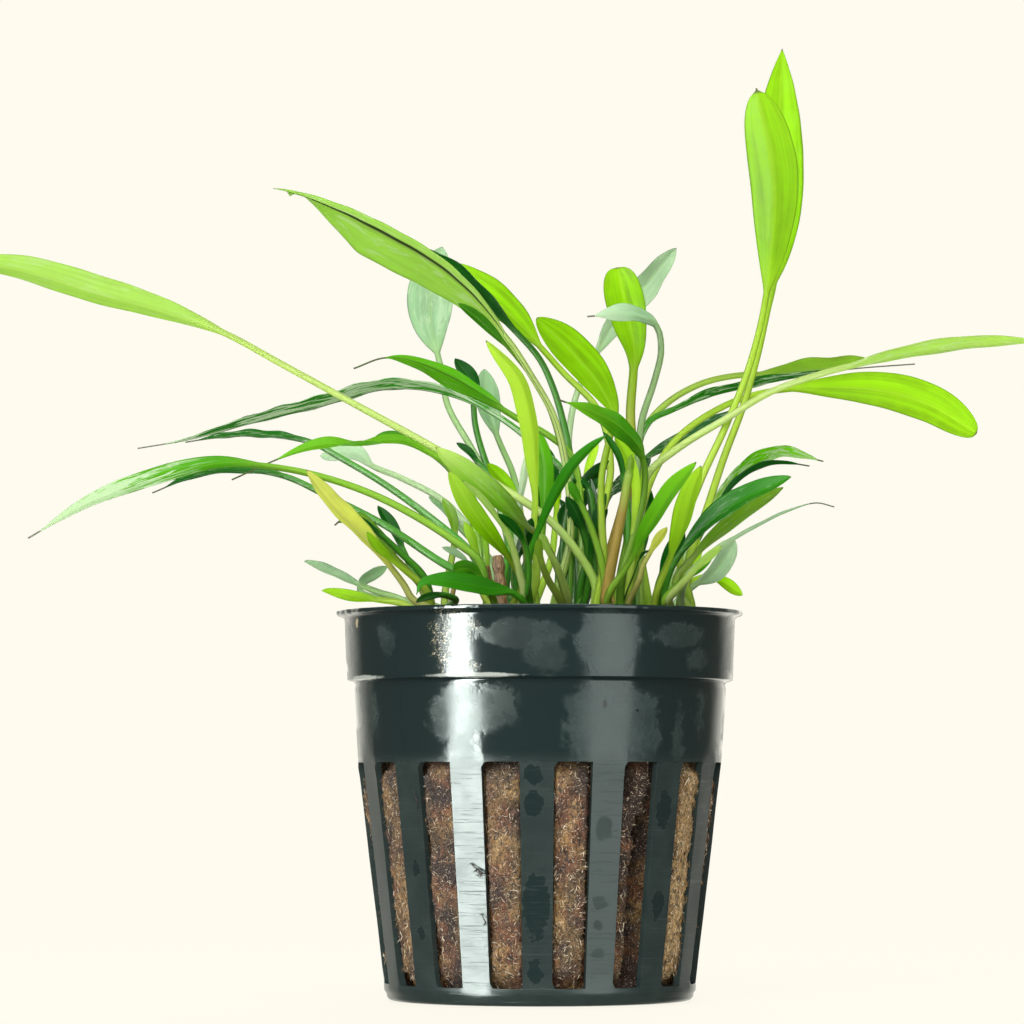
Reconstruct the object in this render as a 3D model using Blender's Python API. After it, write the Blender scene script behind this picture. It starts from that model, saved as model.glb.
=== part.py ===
"""A potted cryptocoryne: a slotted net pot, its plug of rock wool, and small plants of many leaves.

Millimetres are used throughout and turned to metres where a mesh is made. +Z is up, the origin
is the centre of the pot's flat underside, and the front of the plant faces -Y.
"""

import math
from typing import NamedTuple

import bmesh
import bpy
import numpy as np
from mathutils import Vector, noise

MM = 0.001

# The pot
SLOT_COUNT = 16
SLOT_ANGLE = 12.0
FIRST_SLOT_AT = 10.0
FLOOR_THICKNESS = 1.0
FLOOR_SLOT_FROM = 7.5
FLOOR_SLOT_TO = 16.0
SLOT_FOOT = 2.2
SLOT_HEAD = 30.5
LEDGE_HEIGHT = 40.2
POT_HEIGHT = 50.0
WALL = 0.9

# The plug of rock wool
WOOL_TOP = 46.5
WOOL_CLEARANCE = 0.5
WOOL_COLUMNS = 32
WOOL_LUMP = 0.25
WOOL_LUMP_SIZE = 6.0

# The crowns, the short rhizomes that the leaves grow from
CROWN_RADIUS = 1.3
CROWN_FOOT = 44.7
CROWN_TOP = 49.4
CROWN_SIDES = 8
POCKET_CLEARANCE = 0.35
STUB_ROOT = 0.2
LEAF_RING = 2.35
LEAF_FOOT = 47.0
FOOT_SPACING = 40.0
BASE_PULL = 0.15
TIP_PULL = 0.3
SPREADING_ROUNDS = 200
COLLAR_LEAN = 0.35
COLLAR_RISE = 2.4

# The leaves
SIGHT_POINT = (-3.6, -580.0, 27.0)
PETIOLE_STATIONS = 6
BLADE_STATIONS = 8
PETIOLE_WIDTH = 1.15
PETIOLE_NECK = 0.8
BLADE_THICKNESS = 0.42
TIP_SIZE = 0.12
FOLD = 0.3
FLAT_FROM = 0.25
BASE_RISE = 0.85
TIP_THINNING = 0.45
CROWDING = 0.65


class Crown(NamedTuple):
    """A rhizome, by where it stands on the wool, with the cut stubs of old petioles beside it."""

    across: float
    depth: float
    stubs: tuple = ()


class Leaf(NamedTuple):
    """A leaf, by where it is sighted from the front.

    crown is the rhizome that it grows from, and tint names its colour. petiole and blade are
    points (across, up) that its middle line passes, from the crown to the tip, as seen from
    SIGHT_POINT on the upright plane through the pot's axis. depth is how far its tip lies behind
    that plane, and bow how far its middle leaves a straight way there. turn is the angle between
    the blade's face and the front, in degrees, taper is low for a blunt tip, and stalk is how
    many times the usual thickness the petiole has.
    """

    crown: str
    tint: str
    petiole: list
    blade: list
    depth: float
    width: float
    turn: float
    bow: float = 0.0
    taper: float = 0.7
    stalk: float = 1.0


CROWNS = {
    "left": Crown(-13.0, 1.0),
    "front": Crown(-4.0, -7.0, stubs=((-2.0, -1.2, 56.8, 0.75), (-0.6, -3.0, 56.3, 0.65))),
    "back": Crown(-3.0, 8.0),
    "middle": Crown(3.5, 1.0),
    "right_front": Crown(9.5, -6.0),
    "right_back": Crown(12.5, 6.0),
    "right_edge": Crown(17.0, -3.5),
}

LEAVES = {
    # Leaves of the middle crown
    "high_left_broad": Leaf(
        "middle", "soft", [(4.0, 60.0), (3.2, 70.0), (1.8, 75.5), (-1.0, 80.6)],
        [(-4.6, 86.0), (-12.0, 92.6), (-22.0, 98.4), (-34.8, 105.2)],
        depth=-14, width=6.4, turn=-25, taper=0.75),
    "high_left_dark": Leaf(
        "middle", "dark", [(4.6, 62.0), (4.0, 69.8), (3.1, 74.5), (1.8, 79.0), (0.0, 82.9)],
        [(-3.0, 86.4), (-7.0, 90.6), (-10.5, 94.0), (-15.0, 97.4)],
        depth=6, width=4.5, turn=-72),
    "long_left_arch": Leaf(
        "middle", "dark", [(7.0, 58.0), (5.2, 64.0), (3.2, 68.2), (0.0, 71.2), (-4.0, 74.5)],
        [(-8.0, 77.0), (-14.0, 79.1), (-20.0, 79.4), (-28.0, 77.3), (-38.0, 74.7),
         (-46.5, 72.3), (-52.2, 71.3)],
        depth=22, width=3.6, turn=-66, taper=1.1),
    "left_arch_green": Leaf(
        "middle", "green", [(5.4, 62.0), (4.0, 70.4), (0.6, 73.3), (-2.5, 74.9)],
        [(-4.6, 76.2), (-8.0, 78.2), (-12.0, 80.3), (-16.0, 82.2), (-20.0, 83.1), (-24.2, 81.7)],
        depth=-6, width=4.2, turn=46, taper=1.0),
    "back_right_grey": Leaf(
        "middle", "pale", [(4.0, 66.0), (3.8, 73.0), (4.7, 78.0), (6.0, 81.2)],
        [(7.3, 83.6), (9.5, 87.3), (13.5, 92.2), (17.8, 97.4)],
        depth=36, width=4.2, turn=30),
    "left_broad_soft": Leaf(
        "middle", "soft", [(3.1, 53.0), (1.6, 57.2), (0.0, 59.9)],
        [(-1.4, 60.9), (-4.6, 63.9), (-8.5, 67.3), (-13.5, 71.4)],
        depth=-26, width=4.2, turn=-38, bow=-2),
    # Leaves of the right front crown
    "right_spoon": Leaf(
        "right_front", "lime", [(8.2, 54.0), (9.6, 59.0), (11.1, 64.5), (12.0, 70.0), (11.8, 76.0)],
        [(12.2, 81.4), (12.3, 84.0), (11.6, 88.0), (10.1, 94.9)],
        depth=12, width=5.2, turn=6, taper=0.4, stalk=1.45),
    "right_lime_broad": Leaf(
        "right_front", "lime", [(8.3, 56.5), (8.0, 62.0), (8.1, 68.0), (9.2, 73.0)],
        [(9.8, 75.2), (8.2, 79.0), (4.6, 83.6), (-0.4, 88.3)],
        depth=-16, width=4.8, turn=-20, taper=0.65),
    "right_front_blade": Leaf(
        "right_front", "green", [(9.2, 52.8), (10.8, 55.2)],
        [(12.0, 57.2), (13.3, 59.8), (15.2, 63.0), (17.5, 66.5), (20.3, 69.5)],
        depth=-27, width=3.6, turn=40),
    "front_dark_arch": Leaf(
        "right_front", "green", [(10.6, 54.5), (12.2, 60.0), (13.3, 64.0), (13.7, 67.5)],
        [(13.4, 69.8), (12.2, 72.0), (9.8, 74.2), (6.0, 76.3), (2.3, 77.7)],
        depth=-24, width=3.8, turn=44, taper=1.1),
    "inner_hook": Leaf(
        "right_front", "dark", [(11.6, 57.0), (11.4, 63.0)],
        [(10.9, 67.4), (10.2, 70.2), (8.3, 73.4)],
        depth=-14, width=2.4, turn=40),
    "inner_lime": Leaf(
        "right_front", "lime", [(12.3, 55.0), (12.5, 60.0)],
        [(12.7, 64.0), (12.2, 68.5), (9.8, 73.0)],
        depth=-6, width=2.6, turn=30),
    "second_left_high": Leaf(
        "right_front", "lime", [(7.6, 60.0), (9.2, 69.0), (7.6, 76.2), (3.0, 81.2)],
        [(0.0, 84.6), (-3.2, 88.2), (-7.0, 91.6), (-12.5, 95.4)],
        depth=12, width=4.8, turn=28),
    "pale_in_front": Leaf(
        "right_front", "pale", [(12.2, 62.0), (12.8, 70.0), (13.3, 75.0), (14.9, 80.0), (15.8, 84.2)],
        [(15.2, 87.2), (13.4, 88.4), (10.5, 88.8), (6.2, 88.5)],
        depth=-10, width=3.4, turn=50, taper=0.9),
    "long_left_lime": Leaf(
        "right_front", "soft",
        [(7.2, 53.5), (5.0, 57.6), (1.3, 61.9), (-6.0, 66.8), (-14.0, 71.5), (-24.0, 77.0),
         (-34.0, 82.5)],
        [(-40.8, 86.2), (-48.0, 89.0), (-58.0, 91.9), (-68.0, 94.8), (-76.0, 95.9)],
        depth=-8, width=5.0, turn=-42, taper=0.7),
    # Leaves of the right back crown
    "right_arch_olive": Leaf(
        "right_back", "olive", [(12.6, 65.0), (13.3, 73.2), (16.0, 76.7), (21.0, 79.7), (26.0, 80.8)],
        [(28.5, 80.9), (33.0, 81.7), (38.0, 82.1), (44.0, 82.6)],
        depth=26, width=3.2, turn=50),
    "far_right_long": Leaf(
        "right_back", "soft",
        [(13.0, 60.0), (14.0, 67.8), (18.0, 71.3), (24.0, 75.0), (30.0, 78.6), (36.0, 80.8)],
        [(40.0, 81.9), (48.0, 83.7), (56.0, 84.9), (66.0, 85.3)],
        depth=-16, width=3.6, turn=60, taper=0.9),
    "right_lime_droop": Leaf(
        "right_back", "lime", [(13.0, 62.0), (17.0, 71.6), (24.0, 76.8), (29.0, 78.5)],
        [(32.5, 79.0), (38.0, 79.2), (44.5, 78.8), (51.0, 76.9), (56.8, 73.2)],
        depth=15, width=6.0, turn=-30, taper=0.45),
    "right_dark_arch": Leaf(
        "right_back", "dark", [(12.0, 66.0), (14.4, 74.9)],
        [(17.0, 76.2), (22.0, 78.3), (27.0, 79.5), (34.0, 80.8), (41.0, 81.7), (48.8, 82.3)],
        depth=8, width=3.0, turn=68, taper=1.2),
    "right_wet_dark": Leaf(
        "right_back", "dark", [(8.8, 64.8), (11.0, 67.2)],
        [(13.8, 70.0), (18.0, 72.3), (22.0, 74.4), (26.0, 76.3)],
        depth=18, width=2.8, turn=-50),
    "tall_behind": Leaf(
        "right_edge", "lime",
        [(19.4, 57.0), (21.4, 62.5), (23.9, 70.0), (26.6, 77.2), (28.5, 84.0), (29.7, 89.4)],
        [(30.5, 92.8), (31.0, 100.0), (31.1, 110.0), (31.7, 123.6)],
        depth=14, width=6.8, turn=5, taper=0.95),
    "tall_in_front": Leaf(
        "right_edge", "lime",
        [(18.0, 58.5), (20.6, 66.4), (24.1, 74.0), (26.8, 80.6), (28.7, 87.2)],
        [(29.5, 91.4), (30.3, 98.0), (30.5, 107.0), (28.3, 118.4)],
        depth=-4, width=6.4, turn=-5, taper=0.5),
    # Leaves of the right edge crown
    "right_thick_dark": Leaf(
        "right_edge", "dark", [(16.2, 53.0), (17.0, 55.5)],
        [(18.4, 57.8), (21.0, 61.0), (25.0, 64.2), (32.6, 67.6)],
        depth=-17, width=3.6, turn=-50),
    "right_olive_tip": Leaf(
        "right_edge", "olive", [(17.6, 54.0)],
        [(20.0, 57.2), (24.0, 61.0), (28.0, 63.9), (31.6, 66.2)],
        depth=-8, width=2.8, turn=45),
    "right_curl": Leaf(
        "right_back", "green", [(18.6, 56.4), (22.0, 62.6)],
        [(24.0, 66.4), (27.5, 69.3), (31.0, 70.6), (34.0, 70.3), (36.8, 69.6)],
        depth=24, width=3.4, turn=58, taper=0.9),
    "right_thread": Leaf(
        "right_edge", "pale", [(18.8, 54.0), (21.0, 56.5)],
        [(24.0, 58.9), (28.0, 61.2), (32.0, 63.1), (36.0, 64.2), (38.2, 63.7)],
        depth=-28, width=2.4, turn=74, taper=0.9),
    "right_low_pale": Leaf(
        "right_edge", "pale", [(19.0, 52.6)],
        [(20.4, 53.7), (22.5, 55.0), (24.0, 56.8), (25.4, 59.2)],
        depth=14, width=2.8, turn=20),
    "right_low_lime": Leaf(
        "right_back", "lime", [(18.0, 52.8), (20.8, 54.4)],
        [(22.4, 54.5), (24.2, 53.6), (26.3, 52.2)],
        depth=13, width=1.8, turn=-30),
    "right_lime_blade": Leaf(
        "right_edge", "lime", [(15.3, 53.0), (16.2, 55.3)],
        [(17.0, 57.3), (18.4, 61.5), (19.5, 65.5), (20.9, 69.0)],
        depth=-22, width=3.4, turn=42),
    # Leaves of the front crown
    "front_left_olive": Leaf(
        "front", "lime", [(-2.3, 53.5), (-3.0, 55.5)],
        [(-4.0, 57.0), (-6.5, 60.0), (-9.3, 63.8), (-11.8, 68.3)],
        depth=-25, width=3.8, turn=-35),
    "left_low_long": Leaf(
        "front", "green", [(-8.0, 56.8), (-10.5, 58.8), (-15.0, 61.8), (-22.0, 65.4), (-30.0, 68.0)],
        [(-36.0, 69.0), (-42.0, 69.3), (-50.0, 67.4), (-58.0, 64.5), (-66.4, 59.6)],
        depth=-22, width=3.6, turn=52, taper=1.0),
    "left_low_dark": Leaf(
        "front", "dark", [(-8.0, 54.0), (-12.0, 56.0), (-20.0, 61.2), (-28.0, 65.3)],
        [(-33.0, 67.6), (-38.0, 68.5), (-44.0, 68.0), (-50.3, 65.5)],
        depth=8, width=2.8, turn=62, taper=0.9),
    "left_mid_thin": Leaf(
        "front", "dark", [(-7.0, 54.5), (-9.0, 57.8), (-13.0, 61.3), (-20.0, 66.5), (-26.0, 70.1)],
        [(-29.5, 72.0), (-34.0, 72.9), (-40.0, 73.0), (-46.0, 72.1)],
        depth=16, width=2.4, turn=66, taper=0.9),
    "front_small_round": Leaf(
        "front", "green", [(-6.6, 53.0)],
        [(-7.6, 54.3), (-9.2, 55.6), (-11.2, 55.4)],
        depth=-18, width=2.2, turn=20, taper=0.45),
    "rim_hook": Leaf(
        "front", "dark", [(-2.3, 51.6)],
        [(-3.6, 52.5), (-6.5, 53.1), (-9.5, 53.7), (-13.0, 54.1), (-15.3, 53.7), (-16.0, 52.3)],
        depth=-24, width=2.8, turn=35, bow=-2, taper=1.0),
    "left_undulating": Leaf(
        "front", "green", [(-6.9, 54.0), (-7.2, 59.5), (-8.8, 65.0), (-11.2, 68.6)],
        [(-14.5, 70.8), (-18.0, 72.3), (-23.0, 72.0), (-29.0, 71.7), (-34.0, 69.9), (-40.0, 67.2)],
        depth=-12, width=3.0, turn=55, taper=0.9),
    "centre_lime": Leaf(
        "front", "lime", [(-0.4, 54.5), (-0.8, 60.0), (-0.6, 65.0)],
        [(-0.8, 69.0), (-1.4, 75.0), (-2.8, 80.0), (-7.0, 85.3)],
        depth=-23, width=3.2, turn=42),
    "centre_crossing": Leaf(
        "front", "dark", [(-1.6, 54.0), (-1.3, 57.5)],
        [(-0.5, 59.8), (1.0, 63.3), (2.5, 66.3), (4.2, 69.0), (6.5, 71.4), (8.6, 73.0)],
        depth=-27, width=2.8, turn=40),
    # Leaves of the back crown
    "back_spoon_pale": Leaf(
        "back", "pale", [(-6.0, 66.0), (-9.0, 71.5), (-12.0, 77.0), (-12.9, 82.0)],
        [(-13.3, 83.6), (-14.2, 88.0), (-14.1, 92.5), (-12.7, 97.6)],
        depth=38, width=6.4, turn=0, taper=0.8),
    "back_blue": Leaf(
        "back", "pale", [(-2.4, 62.0), (-3.5, 68.0), (-4.9, 71.3)],
        [(-5.6, 73.0), (-6.6, 76.5), (-7.2, 81.6)],
        depth=30, width=3.4, turn=15),
    "back_dark_tip": Leaf(
        "back", "dark", [(-4.4, 63.0), (-7.2, 70.0), (-8.4, 74.5)],
        [(-8.6, 77.0), (-8.9, 80.0), (-11.0, 83.0)],
        depth=22, width=2.4, turn=30),
    "back_dark_small": Leaf(
        "back", "dark", [(-4.0, 64.0), (-6.8, 68.2)],
        [(-8.0, 69.4), (-9.2, 70.9), (-10.8, 72.0)],
        depth=14, width=1.8, turn=30),
    "back_left_pale": Leaf(
        "back", "pale", [(-7.2, 57.5), (-12.0, 64.0), (-18.0, 67.4)],
        [(-21.8, 69.0), (-24.0, 70.6), (-28.5, 70.3)],
        depth=34, width=3.0, turn=35),
    "back_lime": Leaf(
        "back", "lime", [(-2.2, 60.0)],
        [(-3.2, 65.3), (-5.0, 67.4), (-6.8, 69.3)],
        depth=11, width=2.0, turn=25),
    # Leaves of the left crown
    "left_yellow": Leaf(
        "left", "yellow", [(-16.6, 51.8), (-17.6, 53.5)],
        [(-19.3, 55.8), (-23.0, 60.3), (-26.8, 64.2), (-30.3, 68.5)],
        depth=-18, width=3.2, turn=-45),
    "left_yellow_inner": Leaf(
        "left", "olive", [(-15.2, 53.0), (-16.8, 55.0)],
        [(-18.6, 56.9), (-21.4, 60.2), (-23.6, 62.2), (-26.4, 61.6)],
        depth=-5, width=2.2, turn=-40, taper=0.9),
    "left_short_green": Leaf(
        "left", "dark", [(-15.6, 53.6), (-16.8, 56.0)],
        [(-17.8, 58.2), (-19.0, 60.8), (-21.0, 63.8)],
        depth=12, width=2.0, turn=40),
    "left_low_grey": Leaf(
        "left", "pale", [(-18.0, 51.6), (-21.0, 52.6)],
        [(-23.0, 53.4), (-26.0, 54.8), (-30.5, 56.6)],
        depth=20, width=2.2, turn=-55),
    "left_rim_lime": Leaf(
        "left", "lime", [(-17.6, 51.0)],
        [(-21.0, 51.6), (-25.0, 52.1), (-28.2, 52.8)],
        depth=6, width=2.2, turn=-50),
    "left_pale_upright": Leaf(
        "left", "pale", [(-17.0, 51.4), (-21.5, 51.9)],
        [(-23.3, 52.8), (-23.0, 54.0), (-21.6, 54.9), (-19.8, 55.8)],
        depth=22, width=1.8, turn=30),
}

# Colours, in linear red, green and blue
PLASTIC = (0.012, 0.018, 0.020)
WOOL = (0.22, 0.11, 0.05)
RHIZOME = (0.20, 0.10, 0.045)
LEAF_TINTS = {
    "lime": (0.36, 0.72, 0.02),
    "green": (0.13, 0.42, 0.02),
    "dark": (0.03, 0.14, 0.02),
    "soft": (0.34, 0.62, 0.14),
    "pale": (0.48, 0.62, 0.45),
    "olive": (0.30, 0.36, 0.05),
    "yellow": (0.68, 0.66, 0.05),
}


def clear_scene():
    for obj in list(bpy.data.objects):
        bpy.data.objects.remove(obj)


def material(name, colour, roughness):
    made = bpy.data.materials.new(name)
    made.use_nodes = True
    shader = made.node_tree.nodes["Principled BSDF"]
    shader.inputs["Base Color"].default_value = (*colour, 1.0)
    shader.inputs["Roughness"].default_value = roughness
    return made


def add_object(name, bm, finish, smooth=True):
    """Turns a bmesh in millimetres into a named object in metres."""
    bmesh.ops.scale(bm, vec=(MM, MM, MM), verts=bm.verts)
    bmesh.ops.recalc_face_normals(bm, faces=bm.faces)
    mesh = bpy.data.meshes.new(name)
    bm.to_mesh(mesh)
    bm.free()
    if smooth:
        mesh.shade_smooth()
        mesh.set_sharp_from_angle(angle=math.radians(40))
    mesh.materials.append(finish)
    obj = bpy.data.objects.new(name, mesh)
    bpy.context.scene.collection.objects.link(obj)
    return obj


def turned_point(radius, degrees, height):
    """A point on a circle round the pot's axis, with 0 degrees at the front and 90 on the right."""
    angle = math.radians(degrees)
    return Vector((radius * math.sin(angle), -radius * math.cos(angle), height))


def pot_sections():
    """Pairs of points, outside and inside, from the middle of the floor up to the lip."""
    foot_outer, head_outer, ledge_outer = 20.1, 23.5, 24.1
    band_foot, band_head, lip = 25.0, 25.3, 26.2
    return [
        ((FLOOR_SLOT_FROM, 0.0), (FLOOR_SLOT_FROM, FLOOR_THICKNESS)),
        ((FLOOR_SLOT_TO, 0.0), (FLOOR_SLOT_TO, FLOOR_THICKNESS)),
        ((19.3, 0.0), (18.7, FLOOR_THICKNESS)),
        ((19.9, 0.7), (19.1, FLOOR_THICKNESS + 0.5)),
        ((foot_outer, SLOT_FOOT), (foot_outer - WALL, SLOT_FOOT)),
        ((head_outer, SLOT_HEAD), (head_outer - WALL, SLOT_HEAD)),
        ((ledge_outer, LEDGE_HEIGHT), (ledge_outer - WALL, LEDGE_HEIGHT + 0.4)),
        ((band_foot, LEDGE_HEIGHT + 0.8), (band_foot - WALL, LEDGE_HEIGHT + 1.4)),
        ((band_head, 49.0), (band_head - WALL, 49.0)),
        ((lip, 49.4), (band_head - WALL, 49.5)),
        ((lip, POT_HEIGHT), (band_head - WALL + 0.1, POT_HEIGHT)),
    ]


def pot_columns():
    """Angles round the pot, with whether the column that starts there is in a slot."""
    pitch = 360.0 / SLOT_COUNT
    rib_angle = pitch - SLOT_ANGLE
    columns = []
    for k in range(SLOT_COUNT):
        start = FIRST_SLOT_AT + k * pitch - SLOT_ANGLE / 2
        columns += [(start, True), (start + SLOT_ANGLE / 2, True)]
        columns += [(start + SLOT_ANGLE, False), (start + SLOT_ANGLE + rib_angle / 2, False)]
    return columns


def make_pot(finish):
    """The pot as two skins, joined at the lip and round the sides of each slot."""
    sections, columns = pot_sections(), pot_columns()
    slotted_rows = {0, 4}
    bm = bmesh.new()
    skins = [
        [[bm.verts.new(turned_point(radius, angle, height)) for angle, _ in columns]
         for radius, height in skin]
        for skin in zip(*sections)
    ]
    count = len(columns)
    for skin in skins:
        for row in range(len(sections) - 1):
            for c, (_, in_slot) in enumerate(columns):
                if not (in_slot and row in slotted_rows):
                    n = (c + 1) % count
                    bm.faces.new((skin[row][c], skin[row][n], skin[row + 1][n], skin[row + 1][c]))
    outer, inner = skins
    bm.faces.new(outer[0])
    bm.faces.new(inner[0])
    for c in range(count):
        n = (c + 1) % count
        bm.faces.new((outer[-1][c], outer[-1][n], inner[-1][n], inner[-1][c]))
    for row in slotted_rows:
        for c, (_, in_slot) in enumerate(columns):
            n = (c + 1) % count
            if in_slot:
                for end in (row, row + 1):
                    bm.faces.new((outer[end][c], outer[end][n], inner[end][n], inner[end][c]))
            if in_slot != columns[n][1]:
                bm.faces.new((outer[row][n], outer[row + 1][n], inner[row + 1][n], inner[row][n]))
    return add_object("net_pot", bm, finish)


def make_wool(finish):
    """The plug fills the pot inside its wall, with a lumpy side and a pocket for each crown."""
    outline = [
        (17.6, 1.4), (18.4, 2.4), (19.6, 12.0), (20.8, 21.0), (22.0, 30.5), (22.6, 39.8),
        (22.9, 43.5), (21.8, 45.8), (19.6, WOOL_TOP),
    ]
    bm = bmesh.new()
    rings = []
    for radius, height in outline:
        ring = []
        for c in range(WOOL_COLUMNS):
            point = turned_point(radius - WOOL_CLEARANCE / 2, 360.0 * c / WOOL_COLUMNS, height)
            lump = WOOL_LUMP * noise.noise(point / WOOL_LUMP_SIZE)
            side = Vector((point.x, point.y, 0.0)).normalized()
            ring.append(bm.verts.new(point + side * (lump - WOOL_LUMP)))
        rings.append(ring)
    for low, high in zip(rings, rings[1:]):
        for c in range(WOOL_COLUMNS):
            n = (c + 1) % WOOL_COLUMNS
            bm.faces.new((low[c], low[n], high[n], high[c]))
    bm.faces.new(rings[0])
    bm.faces.new(rings[-1])
    wool = add_object("rock_wool", bm, finish, smooth=False)
    pockets = make_pockets()
    cut = wool.modifiers.new("pockets", "BOOLEAN")
    cut.operation = "DIFFERENCE"
    cut.object = pockets
    return wool


def make_pockets():
    """One cutter with a plug for the foot of each crown."""
    bm = bmesh.new()
    above_wool = 3.0
    for crown in CROWNS.values():
        foot = CROWN_FOOT - POCKET_CLEARANCE
        made = bmesh.ops.create_cone(
            bm, cap_ends=True, segments=CROWN_SIDES,
            radius1=CROWN_RADIUS + POCKET_CLEARANCE, radius2=CROWN_RADIUS + POCKET_CLEARANCE,
            depth=WOOL_TOP + above_wool - foot)
        middle = (crown.across, crown.depth, (WOOL_TOP + above_wool + foot) / 2)
        bmesh.ops.translate(bm, vec=middle, verts=made["verts"])
    cutter = add_object("pocket_cutter", bm, material("cutter", RHIZOME, 0.9), smooth=False)
    cutter.hide_render = True
    cutter.display_type = "WIRE"
    return cutter


def ring_solid(bm, rings):
    """Joins rings of points into one closed solid with a cap at each end."""
    verts = [[bm.verts.new(point) for point in ring] for ring in rings]
    sides = len(verts[0])
    for low, high in zip(verts, verts[1:]):
        for c in range(sides):
            n = (c + 1) % sides
            bm.faces.new((low[c], low[n], high[n], high[c]))
    bm.faces.new(verts[0])
    bm.faces.new(verts[-1])


def round_ring(centre, radius, sides):
    return [
        centre + radius * Vector((math.cos(a), math.sin(a), 0.0))
        for a in (2 * math.pi * k / sides for k in range(sides))
    ]


def make_crown(name, crown, finish):
    """A squat rhizome with a bulge at each scar of a leaf, and the stubs of old petioles."""
    bm = bmesh.new()
    outline = [(0.75, 0.0), (1.0, 0.12), (0.86, 0.4), (1.0, 0.62), (0.82, 0.85), (0.4, 1.0)]
    rings = []
    for share, rise in outline:
        height = CROWN_FOOT + (CROWN_TOP - CROWN_FOOT) * rise
        centre = Vector((crown.across, crown.depth, height))
        rings.append(round_ring(centre, share * CROWN_RADIUS, CROWN_SIDES))
    ring_solid(bm, rings)
    body = add_object(f"crown_{name}", bm, finish)
    for number, (across, depth, top, radius) in enumerate(crown.stubs):
        bm = bmesh.new()
        root = (STUB_ROOT * across, STUB_ROOT * depth, CROWN_FOOT + 2.0)
        low = Vector((crown.across, crown.depth, 0.0)) + Vector(root)
        high = Vector((crown.across + across, crown.depth + depth, top))
        rings = [round_ring(low.lerp(high, t), radius, 6) for t in (0.0, 0.35, 0.7, 1.0)]
        ring_solid(bm, rings)
        stub = add_object(f"stub_{name}_{number}", bm, finish)
        stub.hide_render = True
        stub.display_type = "WIRE"
        join = body.modifiers.new(f"stub {number}", "BOOLEAN")
        join.operation = "UNION"
        join.object = stub
    return body


def sighted(across, up, depth):
    """The point that far behind the upright plane through the axis that is seen at (across, up)."""
    eye = Vector(SIGHT_POINT)
    on_plane = Vector((across, 0.0, up))
    return eye + (on_plane - eye) * ((depth - eye.y) / -eye.y)


def foot_bearings(crown_name):
    """The bearing of each leaf's foot round its crown, moved apart where leaves would share a place."""
    crown = CROWNS[crown_name]
    leaving = {}
    for name, leaf in LEAVES.items():
        if leaf.crown == crown_name:
            first, base = leaf.petiole[0][0], leaf.blade[0][0]
            across = first + BASE_PULL * (base - first)
            ahead = TIP_PULL * (leaf.depth - crown.depth)
            leaving[name] = math.atan2(ahead, across - crown.across)
    order = sorted(leaving, key=leaving.get)
    bearings = [leaving[name] for name in order]
    count = len(order)
    least = min(math.radians(FOOT_SPACING), 2 * math.pi / count)
    for _ in range(SPREADING_ROUNDS):
        for k in range(count):
            n = (k + 1) % count
            whole_turn = 2 * math.pi if n == 0 else 0.0
            short = least - (bearings[n] + whole_turn - bearings[k])
            if short > 0:
                bearings[k] -= short / 2
                bearings[n] += short / 2
    return dict(zip(order, bearings))


def path_through(points, stations):
    """Points on a smooth curve through the given points, at shares of its length.

    stations is given the share of each given point, and returns the shares that are wanted.
    """
    p = np.array(points, float)
    knots = np.concatenate([[0.0], np.cumsum(np.linalg.norm(np.diff(p, axis=0), axis=1) ** 0.75)])
    ahead = np.diff(p, axis=0) / np.diff(knots)[:, None]
    slope = np.empty_like(p)
    slope[0], slope[-1] = ahead[0], ahead[-1]
    before, after = np.diff(knots)[:-1, None], np.diff(knots)[1:, None]
    slope[1:-1] = (ahead[:-1] * after + ahead[1:] * before) / (before + after)
    fine = np.linspace(0.0, knots[-1], 40 * len(p))
    k = np.clip(np.searchsorted(knots, fine, side="right") - 1, 0, len(p) - 2)
    h = (knots[k + 1] - knots[k])[:, None]
    t = ((fine - knots[k]) / h[:, 0])[:, None]
    curve = (
        (2 * t**3 - 3 * t**2 + 1) * p[k] + (t**3 - 2 * t**2 + t) * h * slope[k]
        + (3 * t**2 - 2 * t**3) * p[k + 1] + (t**3 - t**2) * h * slope[k + 1]
    )
    length = np.concatenate([[0.0], np.cumsum(np.linalg.norm(np.diff(curve, axis=0), axis=1))])
    shares = np.interp(knots, fine, length) / length[-1]
    wanted = stations(shares) * length[-1]
    return np.stack([np.interp(wanted, length, curve[:, i]) for i in range(3)], axis=1)


def leaf_points(leaf, bearing):
    """The given points of a leaf's middle line in space, from its foot on the crown to its tip."""
    crown = CROWNS[leaf.crown]
    foot = Vector((
        crown.across + LEAF_RING * math.cos(bearing),
        crown.depth + LEAF_RING * math.sin(bearing), LEAF_FOOT))
    lean = (COLLAR_LEAN * math.cos(bearing), COLLAR_LEAN * math.sin(bearing), COLLAR_RISE)
    collar = foot + Vector(lean)
    marks = [*leaf.petiole, *leaf.blade]
    flat = [(foot.x, foot.z), *marks]
    steps = [math.dist(a, b) for a, b in zip(flat, flat[1:])]
    points = [foot, collar]
    for k, (across, up) in enumerate(marks):
        share = sum(steps[: k + 1]) / sum(steps)
        depth = foot.y * (1 - share) + leaf.depth * share + 4 * leaf.bow * share * (1 - share)
        points.append(sighted(across, up, depth))
    return points


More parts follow.
